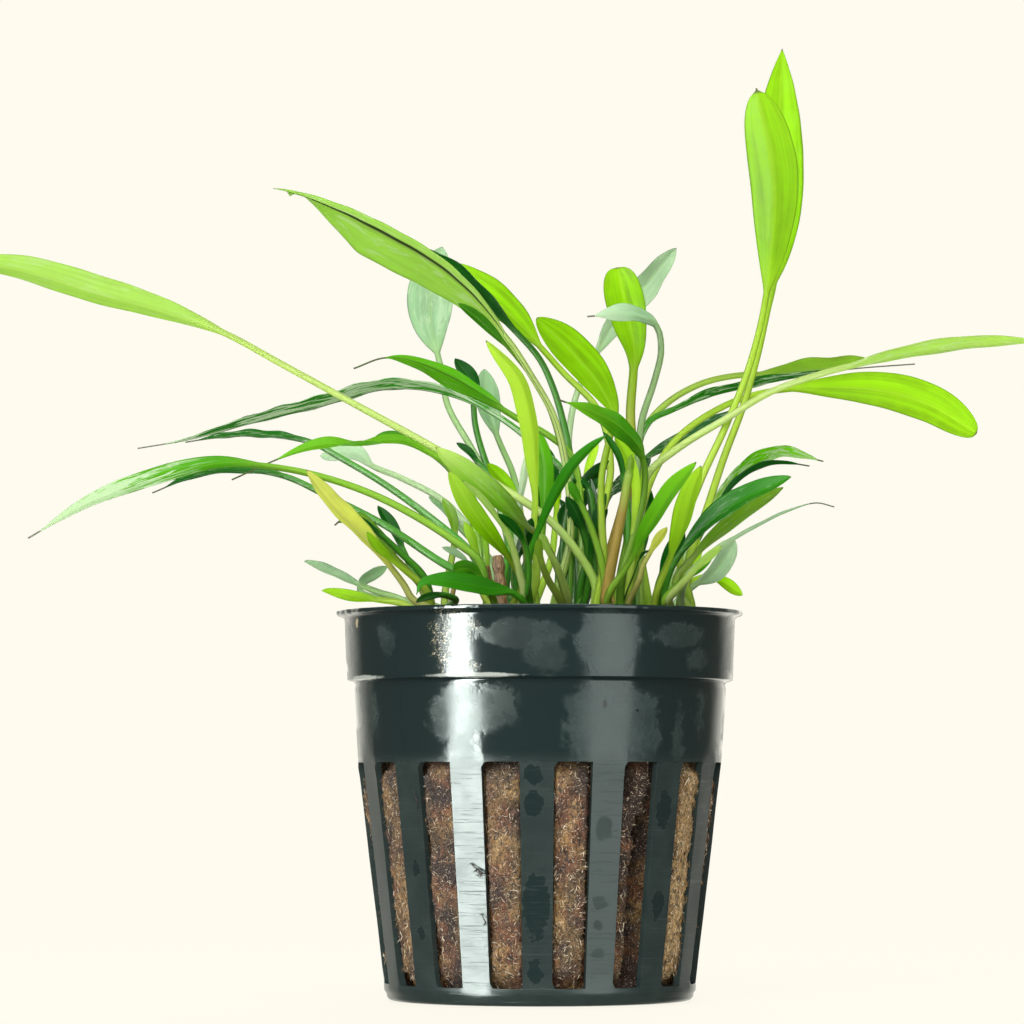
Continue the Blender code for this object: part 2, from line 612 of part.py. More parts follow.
def leaf_line(leaf, bearing):
    """Stations along a leaf: points in space, and each one's share of the petiole and the blade."""
    points = leaf_points(leaf, bearing)
    base_index = 2 + len(leaf.petiole)
    even = np.linspace(0.0, 1.0, BLADE_STATIONS)
    crowded_at_ends = 0.5 - 0.5 * np.cos(math.pi * even)
    blade_shares = even + CROWDING * (crowded_at_ends - even)
    stalk_shares = np.arange(PETIOLE_STATIONS) / PETIOLE_STATIONS

    def stations(shares):
        base = shares[base_index]
        return np.concatenate([base * stalk_shares, base + (1 - base) * blade_shares])

    line = path_through(points, stations)
    along_petiole = np.concatenate([stalk_shares, np.ones(BLADE_STATIONS)])
    along_blade = np.concatenate([np.zeros(PETIOLE_STATIONS), blade_shares])
    return line, along_petiole, along_blade


def blade_half_width(leaf, share):
    """A lance shape: narrow where it leaves the petiole, and blunter at the tip for a low taper."""
    widest = BASE_RISE / (BASE_RISE + leaf.taper)
    peak = widest**BASE_RISE * (1 - widest) ** leaf.taper
    return 0.5 * leaf.width * share**BASE_RISE * (1 - share) ** leaf.taper / peak


def leaf_frames(leaf, line):
    """For each station, the direction across the blade and the direction its upper face looks."""
    tangents = np.gradient(line, axis=0)
    tangents /= np.linalg.norm(tangents, axis=1)[:, None]
    sight = line - np.array(SIGHT_POINT)
    level = np.cross(sight, tangents)
    level /= np.linalg.norm(level, axis=1)[:, None]
    away = np.cross(tangents, level)
    turn = math.radians(leaf.turn)
    across = math.cos(turn) * level + math.sin(turn) * away
    face = math.cos(turn) * away - math.sin(turn) * level
    if face[PETIOLE_STATIONS:, 2].sum() < 0:
        face = -face
    return across, face


def make_leaf(name, leaf, bearing, finish):
    """A leaf as one solid: a petiole that flattens into a thin blade, folded along its middle."""
    line, along_petiole, along_blade = leaf_line(leaf, bearing)
    across, face = leaf_frames(leaf, line)
    stalk = 0.5 * leaf.stalk * (PETIOLE_WIDTH + (PETIOLE_NECK - PETIOLE_WIDTH) * along_petiole)
    blade = np.array([blade_half_width(leaf, share) for share in along_blade])
    fade = 1 - along_blade
    half_width = np.maximum(np.hypot(stalk * fade**2, blade), TIP_SIZE)
    flat = np.clip(along_blade / FLAT_FROM, 0.0, 1.0)
    thickness = stalk * (1 - flat) + 0.5 * BLADE_THICKNESS * flat
    half_depth = np.maximum(thickness * (TIP_THINNING + (1 - TIP_THINNING) * fade), TIP_SIZE)
    raised = 0.5 * FOLD * blade
    bm = bmesh.new()
    rings = []
    for middle, side, up, w, t, lift in zip(line, across, face, half_width, half_depth, raised):
        rings.append([
            Vector(middle - w * side + lift * up), Vector(middle + (t - lift) * up),
            Vector(middle + w * side + lift * up), Vector(middle - (t + lift) * up),
        ])
    ring_solid(bm, rings)
    return add_object(f"leaf_{name}", bm, finish)


def main():
    clear_scene()
    make_pot(material("plastic", PLASTIC, 0.35))
    make_wool(material("wool", WOOL, 0.95))
    rhizome = material("rhizome", RHIZOME, 0.8)
    greens = {tint: material(f"leaf_{tint}", colour, 0.45) for tint, colour in LEAF_TINTS.items()}
    for crown_name, crown in CROWNS.items():
        make_crown(crown_name, crown, rhizome)
        for leaf_name, bearing in foot_bearings(crown_name).items():
            leaf = LEAVES[leaf_name]
            make_leaf(leaf_name, leaf, bearing, greens[leaf.tint])


main()
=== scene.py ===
"""The looks of a potted cryptocoryne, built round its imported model.

Lengths are millimetres in the tables and functions, and metres in the finished meshes. +Z is up,
the origin is the middle of the pot's underside, and the photographed side faces -Y.
"""

import math
from typing import NamedTuple

import bmesh
import bpy
import numpy as np
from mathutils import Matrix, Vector, noise


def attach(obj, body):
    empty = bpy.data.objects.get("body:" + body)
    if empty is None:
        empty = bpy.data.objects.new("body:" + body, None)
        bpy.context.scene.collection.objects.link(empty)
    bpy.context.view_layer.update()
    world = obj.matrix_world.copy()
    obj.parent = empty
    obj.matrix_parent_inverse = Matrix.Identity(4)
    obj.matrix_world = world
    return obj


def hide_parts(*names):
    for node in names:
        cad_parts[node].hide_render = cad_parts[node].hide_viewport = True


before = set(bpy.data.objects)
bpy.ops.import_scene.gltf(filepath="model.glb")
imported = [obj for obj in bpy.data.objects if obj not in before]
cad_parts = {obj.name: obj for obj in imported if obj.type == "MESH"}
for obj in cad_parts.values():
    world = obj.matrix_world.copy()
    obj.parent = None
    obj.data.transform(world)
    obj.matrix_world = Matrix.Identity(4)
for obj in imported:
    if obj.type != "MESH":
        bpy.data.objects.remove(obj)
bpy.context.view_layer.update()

MM = 0.001
LEAF_SEED = 1000
CROWN_SEED = 300
FIBRE_SEED = 7
HAIR_SEED = 41

# Camera, in metres and degrees
CAMERA_AT = (-0.0036, -0.580, 0.027)
CAMERA_TILT = 3.55
CAMERA_LENS = 157.4
SENSOR_WIDTH = 36.0

# Pot, in millimetres and degrees, as in its solid
SLOT_COUNT = 16
SLOT_PITCH = 360.0 / SLOT_COUNT
SLOT_ANGLE = 12.0
FIRST_SLOT_AT = 10.0
SLOT_FOOT = 2.2
SLOT_HEAD = 30.5
SLOT_FOOT_RADIUS = 20.1
SLOT_HEAD_RADIUS = 23.5
LEDGE = 39.9
BAND_FOOT = 41.4
BAND_HEAD = 48.8
WALL = 0.9
WOOL_TOP = 46.5
WOOL_SIDE = [(18.4, 2.4), (19.6, 12.0), (20.8, 21.0), (22.0, 30.5)]

# Crowns and leaves, as in their solids
CROWN_RADIUS = 1.3
CROWN_FOOT = 44.7
CROWN_TOP = 49.4
SHEATHS = 9
CROWN_ROOTS = 16
STUBS = {"front": [(-1.45, -1.8, 56.9, 0.80), (-2.75, -1.0, 55.6, 0.36)]}
ROOT_TUFTS = [(-18.6, 16.6, -1.0, 9), (-18.4, 10.6, -0.5, 4), (49.0, 20.0, -0.6, 4), (-41.0, 25.5, -0.5, 3)]
LEAF_RING = 2.35
LEAF_FOOT = 47.0
FOOT_SPACING = 40.0
BASE_PULL = 0.15
TIP_PULL = 0.3
SPREADING_ROUNDS = 200
COLLAR_LEAN = 0.35
COLLAR_RISE = 2.4
SIGHT_POINT = (-3.6, -580.0, 27.0)
PETIOLE_WIDTH = 1.15
PETIOLE_NECK = 0.8
BASE_RISE = 0.85
FLAT_FROM = 0.25
FOLD = 0.3

# Finer shapes of the leaves, in millimetres, and as shares of the blade's length
BLADE_HALF_DEPTH = 0.16
TIP_THINNING = 0.65
LEAST_HALF_WIDTH = 0.06
LEAST_HALF_DEPTH = 0.04
MIDRIB_WIDTH = 0.3
MIDRIB_GROOVE = 0.10
MIDRIB_RIDGE = 0.20
RIPPLE = (0.05, 0.13)
RIPPLE_LENGTH = (5.0, 9.0)
EDGE_ON_REACH = 0.11
THREAD_WIDTH = 0.26
TEAR_LENGTH = 0.035
TEAR_TAPER = 0.28
YOUNG_RING = 1.6

# Fineness of the pot and the wool, and their small shapes in millimetres
SLOT_ROWS = 14
BODY_ROWS = 8
BAND_ROWS = 7
SLOT_STEPS = 12
RIB_STEPS = 6
SLOT_CORNER = 0.7
POT_WARP = 0.05
RIB_FLATNESS = 0.9
RIB_FLAT_TO = 33.5
LIP_FLASH = 0.28
WOOL_ROWS = 150
WOOL_COLUMNS = 288
SLOT_FIBRES = 13400
GLINT_SHARE = 0.3
TOP_FIBRES = 4200

# Hollows in the wool: bearing, lowest and highest point, half width in degrees, depth
HOLLOWS = [(37.0, 2.5, 24.0, 4.5, 7.0), (29.5, 26.0, 32.0, 3.0, 3.5), (-38.0, 4.0, 30.0, 1.6, 0.8)]

# Water marks on the ribs: bearing, height, radius, and how many times as tall as it is wide
WATER_MARKS = [
    (-2.5, 28.8, 1.1, 1.2), (-2.2, 25.2, 1.2, 1.3), (-1.6, 12.6, 1.7, 2.4), (-2.0, 4.2, 0.9, 1.6),
    (43.0, 24.5, 1.2, 1.8), (43.6, 12.5, 1.0, 1.6), (-46.0, 17.0, 0.6, 1.4), (-46.2, 9.0, 0.6, 1.2),
    (88.0, 21.0, 1.0, 1.6), (111.0, 14.0, 1.1, 1.3), (156.0, 24.0, 1.0, 1.5), (178.0, 10.0, 0.9, 1.4),
    (-111.0, 20.0, 1.1, 1.4), (-134.0, 8.0, 0.8, 1.2), (201.0, 17.0, 1.2, 1.8),
]

# Water marks that have dried matt, on the rib that mirrors the soft light
MATT_MARKS = [(20.4, 22.3, 1.1, 1.5), (20.0, 13.0, 0.8, 1.1), (19.8, 10.2, 0.6, 1.1), (20.2, 6.6, 0.8, 0.7)]

# Marks on the band and the body, as above: patches of dull film, pale specks beside the highlight
# that are painted glints, a painted highlight on the edge under the band, pits shown by painted shade, and a
# tan spot
DULL_PATCHES = [
    (-50.9, 46.5, 1.6, 1.1), (-5.8, 46.4, 5.6, 0.34), (1.6, 43.9, 2.6, 0.85), (19.0, 45.6, 4.2, 1.0),
    (44.7, 46.4, 4.4, 0.36), (51.6, 43.3, 2.4, 0.6), (-62.9, 36.8, 1.8, 1.8), (-26.7, 36.4, 4.0, 0.9),
    (-14.3, 37.2, 3.4, 0.85), (16.1, 35.3, 3.9, 1.3), (30.4, 35.3, 3.6, 1.25), (47.2, 33.8, 0.9, 2.8),
    (57.9, 37.2, 1.2, 1.6), (-24.6, 32.0, 2.2, 1.5),
]
# Where pale golden specks are painted as glints beside the mirrored highlight
GLINT_SPECKLES = [(-28.0, 45.6, 1.7, 1.9), (-22.9, 42.4, 1.4, 0.5), (-22.5, 47.4, 2.0, 0.7)]
# A painted highlight on the lit edge under the band, and on its step at the left
HIGHLIGHT_EDGE = [(-20.0, 41.25, 6.0, 0.05), (-64.0, 41.2, 4.0, 0.07)]
# Pits drawn only as dark spots of painted shade
SHADED_PITS = [(-19.8, 37.8, 0.26, 1.5), (19.4, 37.6, 0.24, 1.8), (30.2, 36.9, 0.2, 1.0)]
TAN_SPOTS = [(-67.6, 48.3, 0.35, 2.0)]

# How far the wool bulges into the slots at a bearing, and how tan (1) or dark (0) it is there: its own
# tone, with painted light in the slot at 55 degrees and painted shade in the hollow near 38 degrees
WOOL_BEARINGS = (-180.0, -125.0, -80.0, -57.5, -35.0, -12.5, 10.0, 27.0, 38.0, 55.0, 80.0, 130.0, 180.0)
WOOL_BULGE = (1.4, 1.7, 1.6, 2.0, 1.7, 1.9, 1.9, 1.8, 1.0, 2.3, 1.6, 1.7, 1.4)
WOOL_TAN_LIGHT_AND_SHADE = (0.5, 0.7, 0.5, 0.62, 0.30, 0.60, 0.54, 0.34, -0.25, 1.5, 0.5, 0.6, 0.5)

# Colours, in linear red, green and blue: the studio and its floor
CREAM = (1.0, 0.965, 0.863)
FLOOR_PAINT = (0.06, 0.058, 0.052)

# The pot's plastic, and what lies on it
PLASTIC = ((0.018, 0.030, 0.029), (0.026, 0.041, 0.039))
DULL_FILM = (0.031, 0.049, 0.047)
WET = (0.011, 0.022, 0.022)
SCORED = (0.10, 0.12, 0.115)
PAINTED_GLINT = (0.72, 0.64, 0.42)
PAINTED_EDGE_HIGHLIGHT = (0.50, 0.54, 0.50)
PIT_SHADE = (0.003, 0.005, 0.005)
TAN_SPOT = (0.50, 0.42, 0.26)
PLASTIC_SHEEN = (0.90, 1.0, 0.95)

# The wool, its fibres, and the bark, roots and root hairs: each from dark to pale
WOOL_WARM = ((0.26, 0.16, 0.058), (0.32, 0.115, 0.042))
# painted shade in the gaps between the wool's grains
WOOL_GAP_SHADE = (0.010, 0.007, 0.005)
WOOL_SHADOW = (0.030, 0.018, 0.012)
WOOL_BROWN = (0.07, 0.040, 0.032)
WOOL_LIGHT = (0.54, 0.32, 0.11)
WOOL_PAINTED_LIGHT = (0.90, 0.62, 0.28)
# painted glints on the wet wool
WOOL_GLINT = (0.92, 0.80, 0.58)
# The palest, cream fibre colour is a painted glint, given to a share of the fibres
FIBRES = ((0.03, 0.018, 0.012), (0.30, 0.15, 0.06), (0.46, 0.26, 0.09), (1.0, 0.88, 0.66))
BARK = ((0.14, 0.065, 0.022), (0.50, 0.29, 0.11))
ROOTS = ((0.22, 0.14, 0.07), (0.62, 0.50, 0.30))
HAIRS = ((0.012, 0.009, 0.007), (0.05, 0.035, 0.02))

# What alters the leaves' colours: a milky film that is partly painted sheen, a browned stalk, and a dead tip
MILKY_FILM_AND_SHEEN = (0.72, 0.86, 0.62)
BROWN = (0.36, 0.20, 0.045)
DEAD = (0.18, 0.17, 0.12)


class Leaf(NamedTuple):
    """A leaf as in its solid: points (across, up) in the sighted plane, and how it turns."""

    crown: str
    tint: str
    petiole: list
    blade: list
    depth: float
    width: float
    turn: float
    bow: float = 0.0
    taper: float = 0.7
    stalk: float = 1.0


class Look(NamedTuple):
    """What sets one leaf apart from the others of its tint.

    light and tip_light run from -1, dark, to 1, pale; the dark side is partly the leaf's own tone and
    partly painted shade where it lies in shadow. thread, torn and edge_on are shares of the
    blade's length: where it thins to a thread, loses one half, or turns its edge to the viewer.
    """

    light: float = 0.0
    tip_light: float = 0.0
    brown: float = 0.0
    patch: float = 0.0
    tip_patch: float | None = None
    ripple: float = 1.0
    fold: float = FOLD
    keel: float = 0.0
    wide: float = 1.0
    thread: float = 1.0
    torn: float = 1.0
    edge_on: float = -1.0
    fold_shadow: float = 0.0


class Fineness(NamedTuple):
    """How many steps a leaf's mesh has along its petiole, along its blade and across."""

    petiole: int
    blade: int
    across: int


FINE = Fineness(44, 56, 16)
MEDIUM = Fineness(26, 34, 10)


CROWNS = {
    "left": (-13.0, 1.0),
    "front": (-4.0, -7.0),
    "back": (-3.0, 8.0),
    "middle": (3.5, 1.0),
    "right_front": (9.5, -6.0),
    "right_back": (12.5, 6.0),
    "right_edge": (17.0, -3.5),
}

LEAVES = {
    # Leaves of the middle crown
    "high_left_broad": Leaf(
        "middle", "soft", [(4.0, 60.0), (3.2, 70.0), (1.8, 75.5), (-1.0, 80.6)],
        [(-4.6, 86.0), (-12.0, 92.6), (-22.0, 98.4), (-34.8, 105.2)],
        depth=-14, width=6.4, turn=-25, taper=0.75),
    "high_left_dark": Leaf(
        "middle", "dark", [(4.6, 62.0), (4.0, 69.8), (3.1, 74.5), (1.8, 79.0), (0.0, 82.9)],
        [(-3.0, 86.4), (-7.0, 90.6), (-10.5, 94.0), (-15.0, 97.4)],
        depth=6, width=4.5, turn=-72),
    "long_left_arch": Leaf(
        "middle", "dark", [(7.0, 58.0), (5.2, 64.0), (3.2, 68.2), (0.0, 71.2), (-4.0, 74.5)],
        [(-8.0, 77.0), (-14.0, 79.1), (-20.0, 79.4), (-28.0, 77.3), (-38.0, 74.7),
         (-46.5, 72.3), (-52.2, 71.3)],
        depth=22, width=3.6, turn=-66, taper=1.1),
    "left_arch_green": Leaf(
        "middle", "green", [(5.4, 62.0), (4.0, 70.4), (0.6, 73.3), (-2.5, 74.9)],
        [(-4.6, 76.2), (-8.0, 78.2), (-12.0, 80.3), (-16.0, 82.2), (-20.0, 83.1), (-24.2, 81.7)],
        depth=-6, width=4.2, turn=46, taper=1.0),
    "back_right_grey": Leaf(
        "middle", "pale", [(4.0, 66.0), (3.8, 73.0), (4.7, 78.0), (6.0, 81.2)],
        [(7.3, 83.6), (9.5, 87.3), (13.5, 92.2), (17.8, 97.4)],
        depth=36, width=4.2, turn=30),
    "left_broad_soft": Leaf(
        "middle", "soft", [(3.1, 53.0), (1.6, 57.2), (0.0, 59.9)],
        [(-1.4, 60.9), (-4.6, 63.9), (-8.5, 67.3), (-13.5, 71.4)],
        depth=-26, width=4.2, turn=-38, bow=-2),
    # Leaves of the right front crown
    "right_spoon": Leaf(
        "right_front", "lime", [(8.2, 54.0), (9.6, 59.0), (11.1, 64.5), (12.0, 70.0), (11.8, 76.0)],
        [(12.2, 81.4), (12.3, 84.0), (11.6, 88.0), (10.1, 94.9)],
        depth=12, width=5.2, turn=6, taper=0.4, stalk=1.45),
    "right_lime_broad": Leaf(
        "right_front", "lime", [(8.3, 56.5), (8.0, 62.0), (8.1, 68.0), (9.2, 73.0)],
        [(9.8, 75.2), (8.2, 79.0), (4.6, 83.6), (-0.4, 88.3)],
        depth=-16, width=4.8, turn=-20, taper=0.65),
    "right_front_blade": Leaf(
        "right_front", "green", [(9.2, 52.8), (10.8, 55.2)],
        [(12.0, 57.2), (13.3, 59.8), (15.2, 63.0), (17.5, 66.5), (20.3, 69.5)],
        depth=-27, width=3.6, turn=40),
    "front_dark_arch": Leaf(
        "right_front", "green", [(10.6, 54.5), (12.2, 60.0), (13.3, 64.0), (13.7, 67.5)],
        [(13.4, 69.8), (12.2, 72.0), (9.8, 74.2), (6.0, 76.3), (2.3, 77.7)],
        depth=-24, width=3.8, turn=44, taper=1.1),
    "inner_hook": Leaf(
        "right_front", "dark", [(11.6, 57.0), (11.4, 63.0)],
        [(10.9, 67.4), (10.2, 70.2), (8.3, 73.4)],
        depth=-14, width=2.4, turn=40),
    "inner_lime": Leaf(
        "right_front", "lime", [(12.3, 55.0), (12.5, 60.0)],
        [(12.7, 64.0), (12.2, 68.5), (9.8, 73.0)],
        depth=-6, width=2.6, turn=30),
    "second_left_high": Leaf(
        "right_front", "lime", [(7.6, 60.0), (9.2, 69.0), (7.6, 76.2), (3.0, 81.2)],
        [(0.0, 84.6), (-3.2, 88.2), (-7.0, 91.6), (-12.5, 95.4)],
        depth=12, width=4.8, turn=28),
    "pale_in_front": Leaf(
        "right_front", "pale", [(12.2, 62.0), (12.8, 70.0), (13.3, 75.0), (14.9, 80.0), (15.8, 84.2)],
        [(15.2, 87.2), (13.4, 88.4), (10.5, 88.8), (6.2, 88.5)],
        depth=-10, width=3.4, turn=50, taper=0.9),
    "long_left_lime": Leaf(
        "right_front", "soft",
        [(7.2, 53.5), (5.0, 57.6), (1.3, 61.9), (-6.0, 66.8), (-14.0, 71.5), (-24.0, 77.0),
         (-34.0, 82.5)],
        [(-40.8, 86.2), (-48.0, 89.0), (-58.0, 91.9), (-68.0, 94.8), (-76.0, 95.9)],
        depth=-8, width=5.0, turn=-42, taper=0.7),
    # Leaves of the right back crown
    "right_arch_olive": Leaf(
        "right_back", "olive", [(12.6, 65.0), (13.3, 73.2), (16.0, 76.7), (21.0, 79.7), (26.0, 80.8)],
        [(28.5, 80.9), (33.0, 81.7), (38.0, 82.1), (44.0, 82.6)],
        depth=26, width=3.2, turn=50),
    "far_right_long": Leaf(
        "right_back", "soft",
        [(13.0, 60.0), (14.0, 67.8), (18.0, 71.3), (24.0, 75.0), (30.0, 78.6), (36.0, 80.8)],
        [(40.0, 81.9), (48.0, 83.7), (56.0, 84.9), (66.0, 85.3)],
        depth=-16, width=3.6, turn=60, taper=0.9),
    "right_lime_droop": Leaf(
        "right_back", "lime", [(13.0, 62.0), (17.0, 71.6), (24.0, 76.8), (29.0, 78.5)],
        [(32.5, 79.0), (38.0, 79.2), (44.5, 78.8), (51.0, 76.9), (56.8, 73.2)],
        depth=15, width=6.0, turn=-30, taper=0.45),
    "right_dark_arch": Leaf(
        "right_back", "dark", [(12.0, 66.0), (14.4, 74.9)],
        [(17.0, 76.2), (22.0, 78.3), (27.0, 79.5), (34.0, 80.8), (41.0, 81.7), (48.8, 82.3)],
        depth=8, width=3.0, turn=68, taper=1.2),
    "right_wet_dark": Leaf(
        "right_back", "dark", [(8.8, 64.8), (11.0, 67.2)],
        [(13.8, 70.0), (18.0, 72.3), (22.0, 74.4), (26.0, 76.3)],
        depth=18, width=2.8, turn=-50),
    "right_curl": Leaf(
        "right_back", "green", [(18.6, 56.4), (22.0, 62.6)],
        [(24.0, 66.4), (27.5, 69.3), (31.0, 70.6), (34.0, 70.3), (36.8, 69.6)],
        depth=24, width=3.4, turn=58, taper=0.9),
    "right_low_lime": Leaf(
        "right_back", "lime", [(18.0, 52.8), (20.8, 54.4)],
        [(22.4, 54.5), (24.2, 53.6), (26.3, 52.2)],
        depth=13, width=1.8, turn=-30),
    # Leaves of the right edge crown
    "tall_behind": Leaf(
        "right_edge", "lime",
        [(19.4, 57.0), (21.4, 62.5), (23.9, 70.0), (26.6, 77.2), (28.5, 84.0), (29.7, 89.4)],
        [(30.5, 92.8), (31.0, 100.0), (31.1, 110.0), (31.7, 123.6)],
        depth=14, width=6.8, turn=5, taper=0.95),
    "tall_in_front": Leaf(
        "right_edge", "lime",
        [(18.0, 58.5), (20.6, 66.4), (24.1, 74.0), (26.8, 80.6), (28.7, 87.2)],
        [(29.5, 91.4), (30.3, 98.0), (30.5, 107.0), (28.3, 118.4)],
        depth=-4, width=6.4, turn=-5, taper=0.5),
    "right_thick_dark": Leaf(
        "right_edge", "dark", [(16.2, 53.0), (17.0, 55.5)],
        [(18.4, 57.8), (21.0, 61.0), (25.0, 64.2), (32.6, 67.6)],
        depth=-17, width=3.6, turn=-50),
    "right_olive_tip": Leaf(
        "right_edge", "olive", [(17.6, 54.0)],
        [(20.0, 57.2), (24.0, 61.0), (28.0, 63.9), (31.6, 66.2)],
        depth=-8, width=2.8, turn=45),
    "right_thread": Leaf(
        "right_edge", "pale", [(18.8, 54.0), (21.0, 56.5)],
        [(24.0, 58.9), (28.0, 61.2), (32.0, 63.1), (36.0, 64.2), (38.2, 63.7)],
        depth=-28, width=2.4, turn=74, taper=0.9),
    "right_low_pale": Leaf(
        "right_edge", "pale", [(19.0, 52.6)],
        [(20.4, 53.7), (22.5, 55.0), (24.0, 56.8), (25.4, 59.2)],
        depth=14, width=2.8, turn=20),
    "right_lime_blade": Leaf(
        "right_edge", "lime", [(15.3, 53.0), (16.2, 55.3)],
        [(17.0, 57.3), (18.4, 61.5), (19.5, 65.5), (20.9, 69.0)],
        depth=-22, width=3.4, turn=42),
    # Leaves of the front crown
    "front_left_olive": Leaf(
        "front", "lime", [(-2.3, 53.5), (-3.0, 55.5)],
        [(-4.0, 57.0), (-6.5, 60.0), (-9.3, 63.8), (-11.8, 68.3)],
        depth=-25, width=3.8, turn=-35),
    "left_low_long": Leaf(
        "front", "green", [(-8.0, 56.8), (-10.5, 58.8), (-15.0, 61.8), (-22.0, 65.4), (-30.0, 68.0)],
        [(-36.0, 69.0), (-42.0, 69.3), (-50.0, 67.4), (-58.0, 64.5), (-66.4, 59.6)],
        depth=-22, width=3.6, turn=52, taper=1.0),
    "left_low_dark": Leaf(
        "front", "dark", [(-8.0, 54.0), (-12.0, 56.0), (-20.0, 61.2), (-28.0, 65.3)],
        [(-33.0, 67.6), (-38.0, 68.5), (-44.0, 68.0), (-50.3, 65.5)],
        depth=8, width=2.8, turn=62, taper=0.9),
    "left_mid_thin": Leaf(
        "front", "dark", [(-7.0, 54.5), (-9.0, 57.8), (-13.0, 61.3), (-20.0, 66.5), (-26.0, 70.1)],
        [(-29.5, 72.0), (-34.0, 72.9), (-40.0, 73.0), (-46.0, 72.1)],
        depth=16, width=2.4, turn=66, taper=0.9),
    "front_small_round": Leaf(
        "front", "green", [(-6.6, 53.0)],
        [(-7.6, 54.3), (-9.2, 55.6), (-11.2, 55.4)],
        depth=-18, width=2.2, turn=20, taper=0.45),
    "rim_hook": Leaf(
        "front", "dark", [(-2.3, 51.6)],
        [(-3.6, 52.5), (-6.5, 53.1), (-9.5, 53.7), (-13.0, 54.1), (-15.3, 53.7), (-16.0, 52.3)],
        depth=-24, width=2.8, turn=35, bow=-2, taper=1.0),
    "left_undulating": Leaf(
        "front", "green", [(-6.9, 54.0), (-7.2, 59.5), (-8.8, 65.0), (-11.2, 68.6)],
        [(-14.5, 70.8), (-18.0, 72.3), (-23.0, 72.0), (-29.0, 71.7), (-34.0, 69.9), (-40.0, 67.2)],
        depth=-12, width=3.0, turn=55, taper=0.9),
    "centre_lime": Leaf(
        "front", "lime", [(-0.4, 54.5), (-0.8, 60.0)],
        [(-0.6, 64.5), (-0.8, 69.0), (-1.4, 75.0), (-2.8, 80.0), (-7.0, 85.3)],
        depth=-23, width=3.2, turn=42),
    "centre_crossing": Leaf(
        "front", "dark", [(-1.6, 54.0), (-1.3, 57.5)],
        [(-0.5, 59.8), (1.0, 63.3), (2.5, 66.3), (4.2, 69.0), (6.5, 71.4), (8.6, 73.0)],
        depth=-27, width=2.8, turn=40),
    # Leaves of the back crown
    "back_spoon_pale": Leaf(
        "back", "pale", [(-6.0, 66.0), (-9.0, 71.5), (-12.0, 77.0), (-12.9, 82.0)],
        [(-13.3, 83.6), (-14.2, 88.0), (-14.1, 92.5), (-12.7, 97.6)],
        depth=38, width=6.4, turn=0, taper=0.8),
    "back_blue": Leaf(
        "back", "pale", [(-2.4, 62.0), (-3.5, 68.0), (-4.9, 71.3)],
        [(-5.6, 73.0), (-6.6, 76.5), (-7.2, 81.6)],
        depth=30, width=3.4, turn=15),
    "back_dark_tip": Leaf(
        "back", "dark", [(-4.4, 63.0), (-7.2, 70.0), (-8.4, 74.5)],
        [(-8.6, 77.0), (-8.9, 80.0), (-11.0, 83.0)],
        depth=22, width=2.4, turn=30),
    "back_dark_small": Leaf(
        "back", "dark", [(-4.0, 64.0), (-6.8, 68.2)],
        [(-8.0, 69.4), (-9.2, 70.9), (-10.8, 72.0)],
        depth=14, width=1.8, turn=30),
    "back_left_pale": Leaf(
        "back", "pale", [(-7.2, 57.5), (-12.0, 64.0), (-18.0, 67.4)],
        [(-21.8, 69.0), (-24.0, 70.6), (-28.5, 70.3)],
        depth=34, width=3.0, turn=35),
    "back_lime": Leaf(
        "back", "lime", [(-2.2, 60.0)],
        [(-3.2, 65.3), (-5.0, 67.4), (-6.8, 69.3)],
        depth=11, width=2.0, turn=25),
    # Leaves of the left crown
    "left_yellow": Leaf(
        "left", "yellow", [(-16.6, 51.8), (-17.6, 53.5)],
        [(-19.3, 55.8), (-23.0, 60.3), (-26.8, 64.2), (-30.3, 68.5)],
        depth=-18, width=3.2, turn=-45),
    "left_yellow_inner": Leaf(
        "left", "olive", [(-15.2, 53.0), (-16.8, 55.0)],
        [(-18.6, 56.9), (-21.4, 60.2), (-23.6, 62.2), (-26.4, 61.6)],
        depth=-5, width=2.2, turn=-40, taper=0.9),
    "left_short_green": Leaf(
        "left", "dark", [(-15.6, 53.6), (-16.8, 56.0)],
        [(-17.8, 58.2), (-19.0, 60.8), (-21.0, 63.8)],
        depth=12, width=2.0, turn=40),
    "left_low_grey": Leaf(
        "left", "pale", [(-18.0, 51.6), (-21.0, 52.6)],
        [(-23.0, 53.4), (-26.0, 54.8), (-30.5, 56.6)],
        depth=20, width=2.2, turn=-55),
    "left_rim_lime": Leaf(
        "left", "lime", [(-17.6, 51.0)],
        [(-21.0, 51.6), (-25.0, 52.1), (-28.2, 52.8)],
        depth=6, width=2.2, turn=-50),
    "left_pale_upright": Leaf(
        "left", "pale", [(-17.0, 51.4), (-21.5, 51.9)],
        [(-23.3, 52.8), (-23.0, 54.0), (-21.6, 54.9), (-19.8, 55.8)],
        depth=22, width=1.8, turn=30),
}


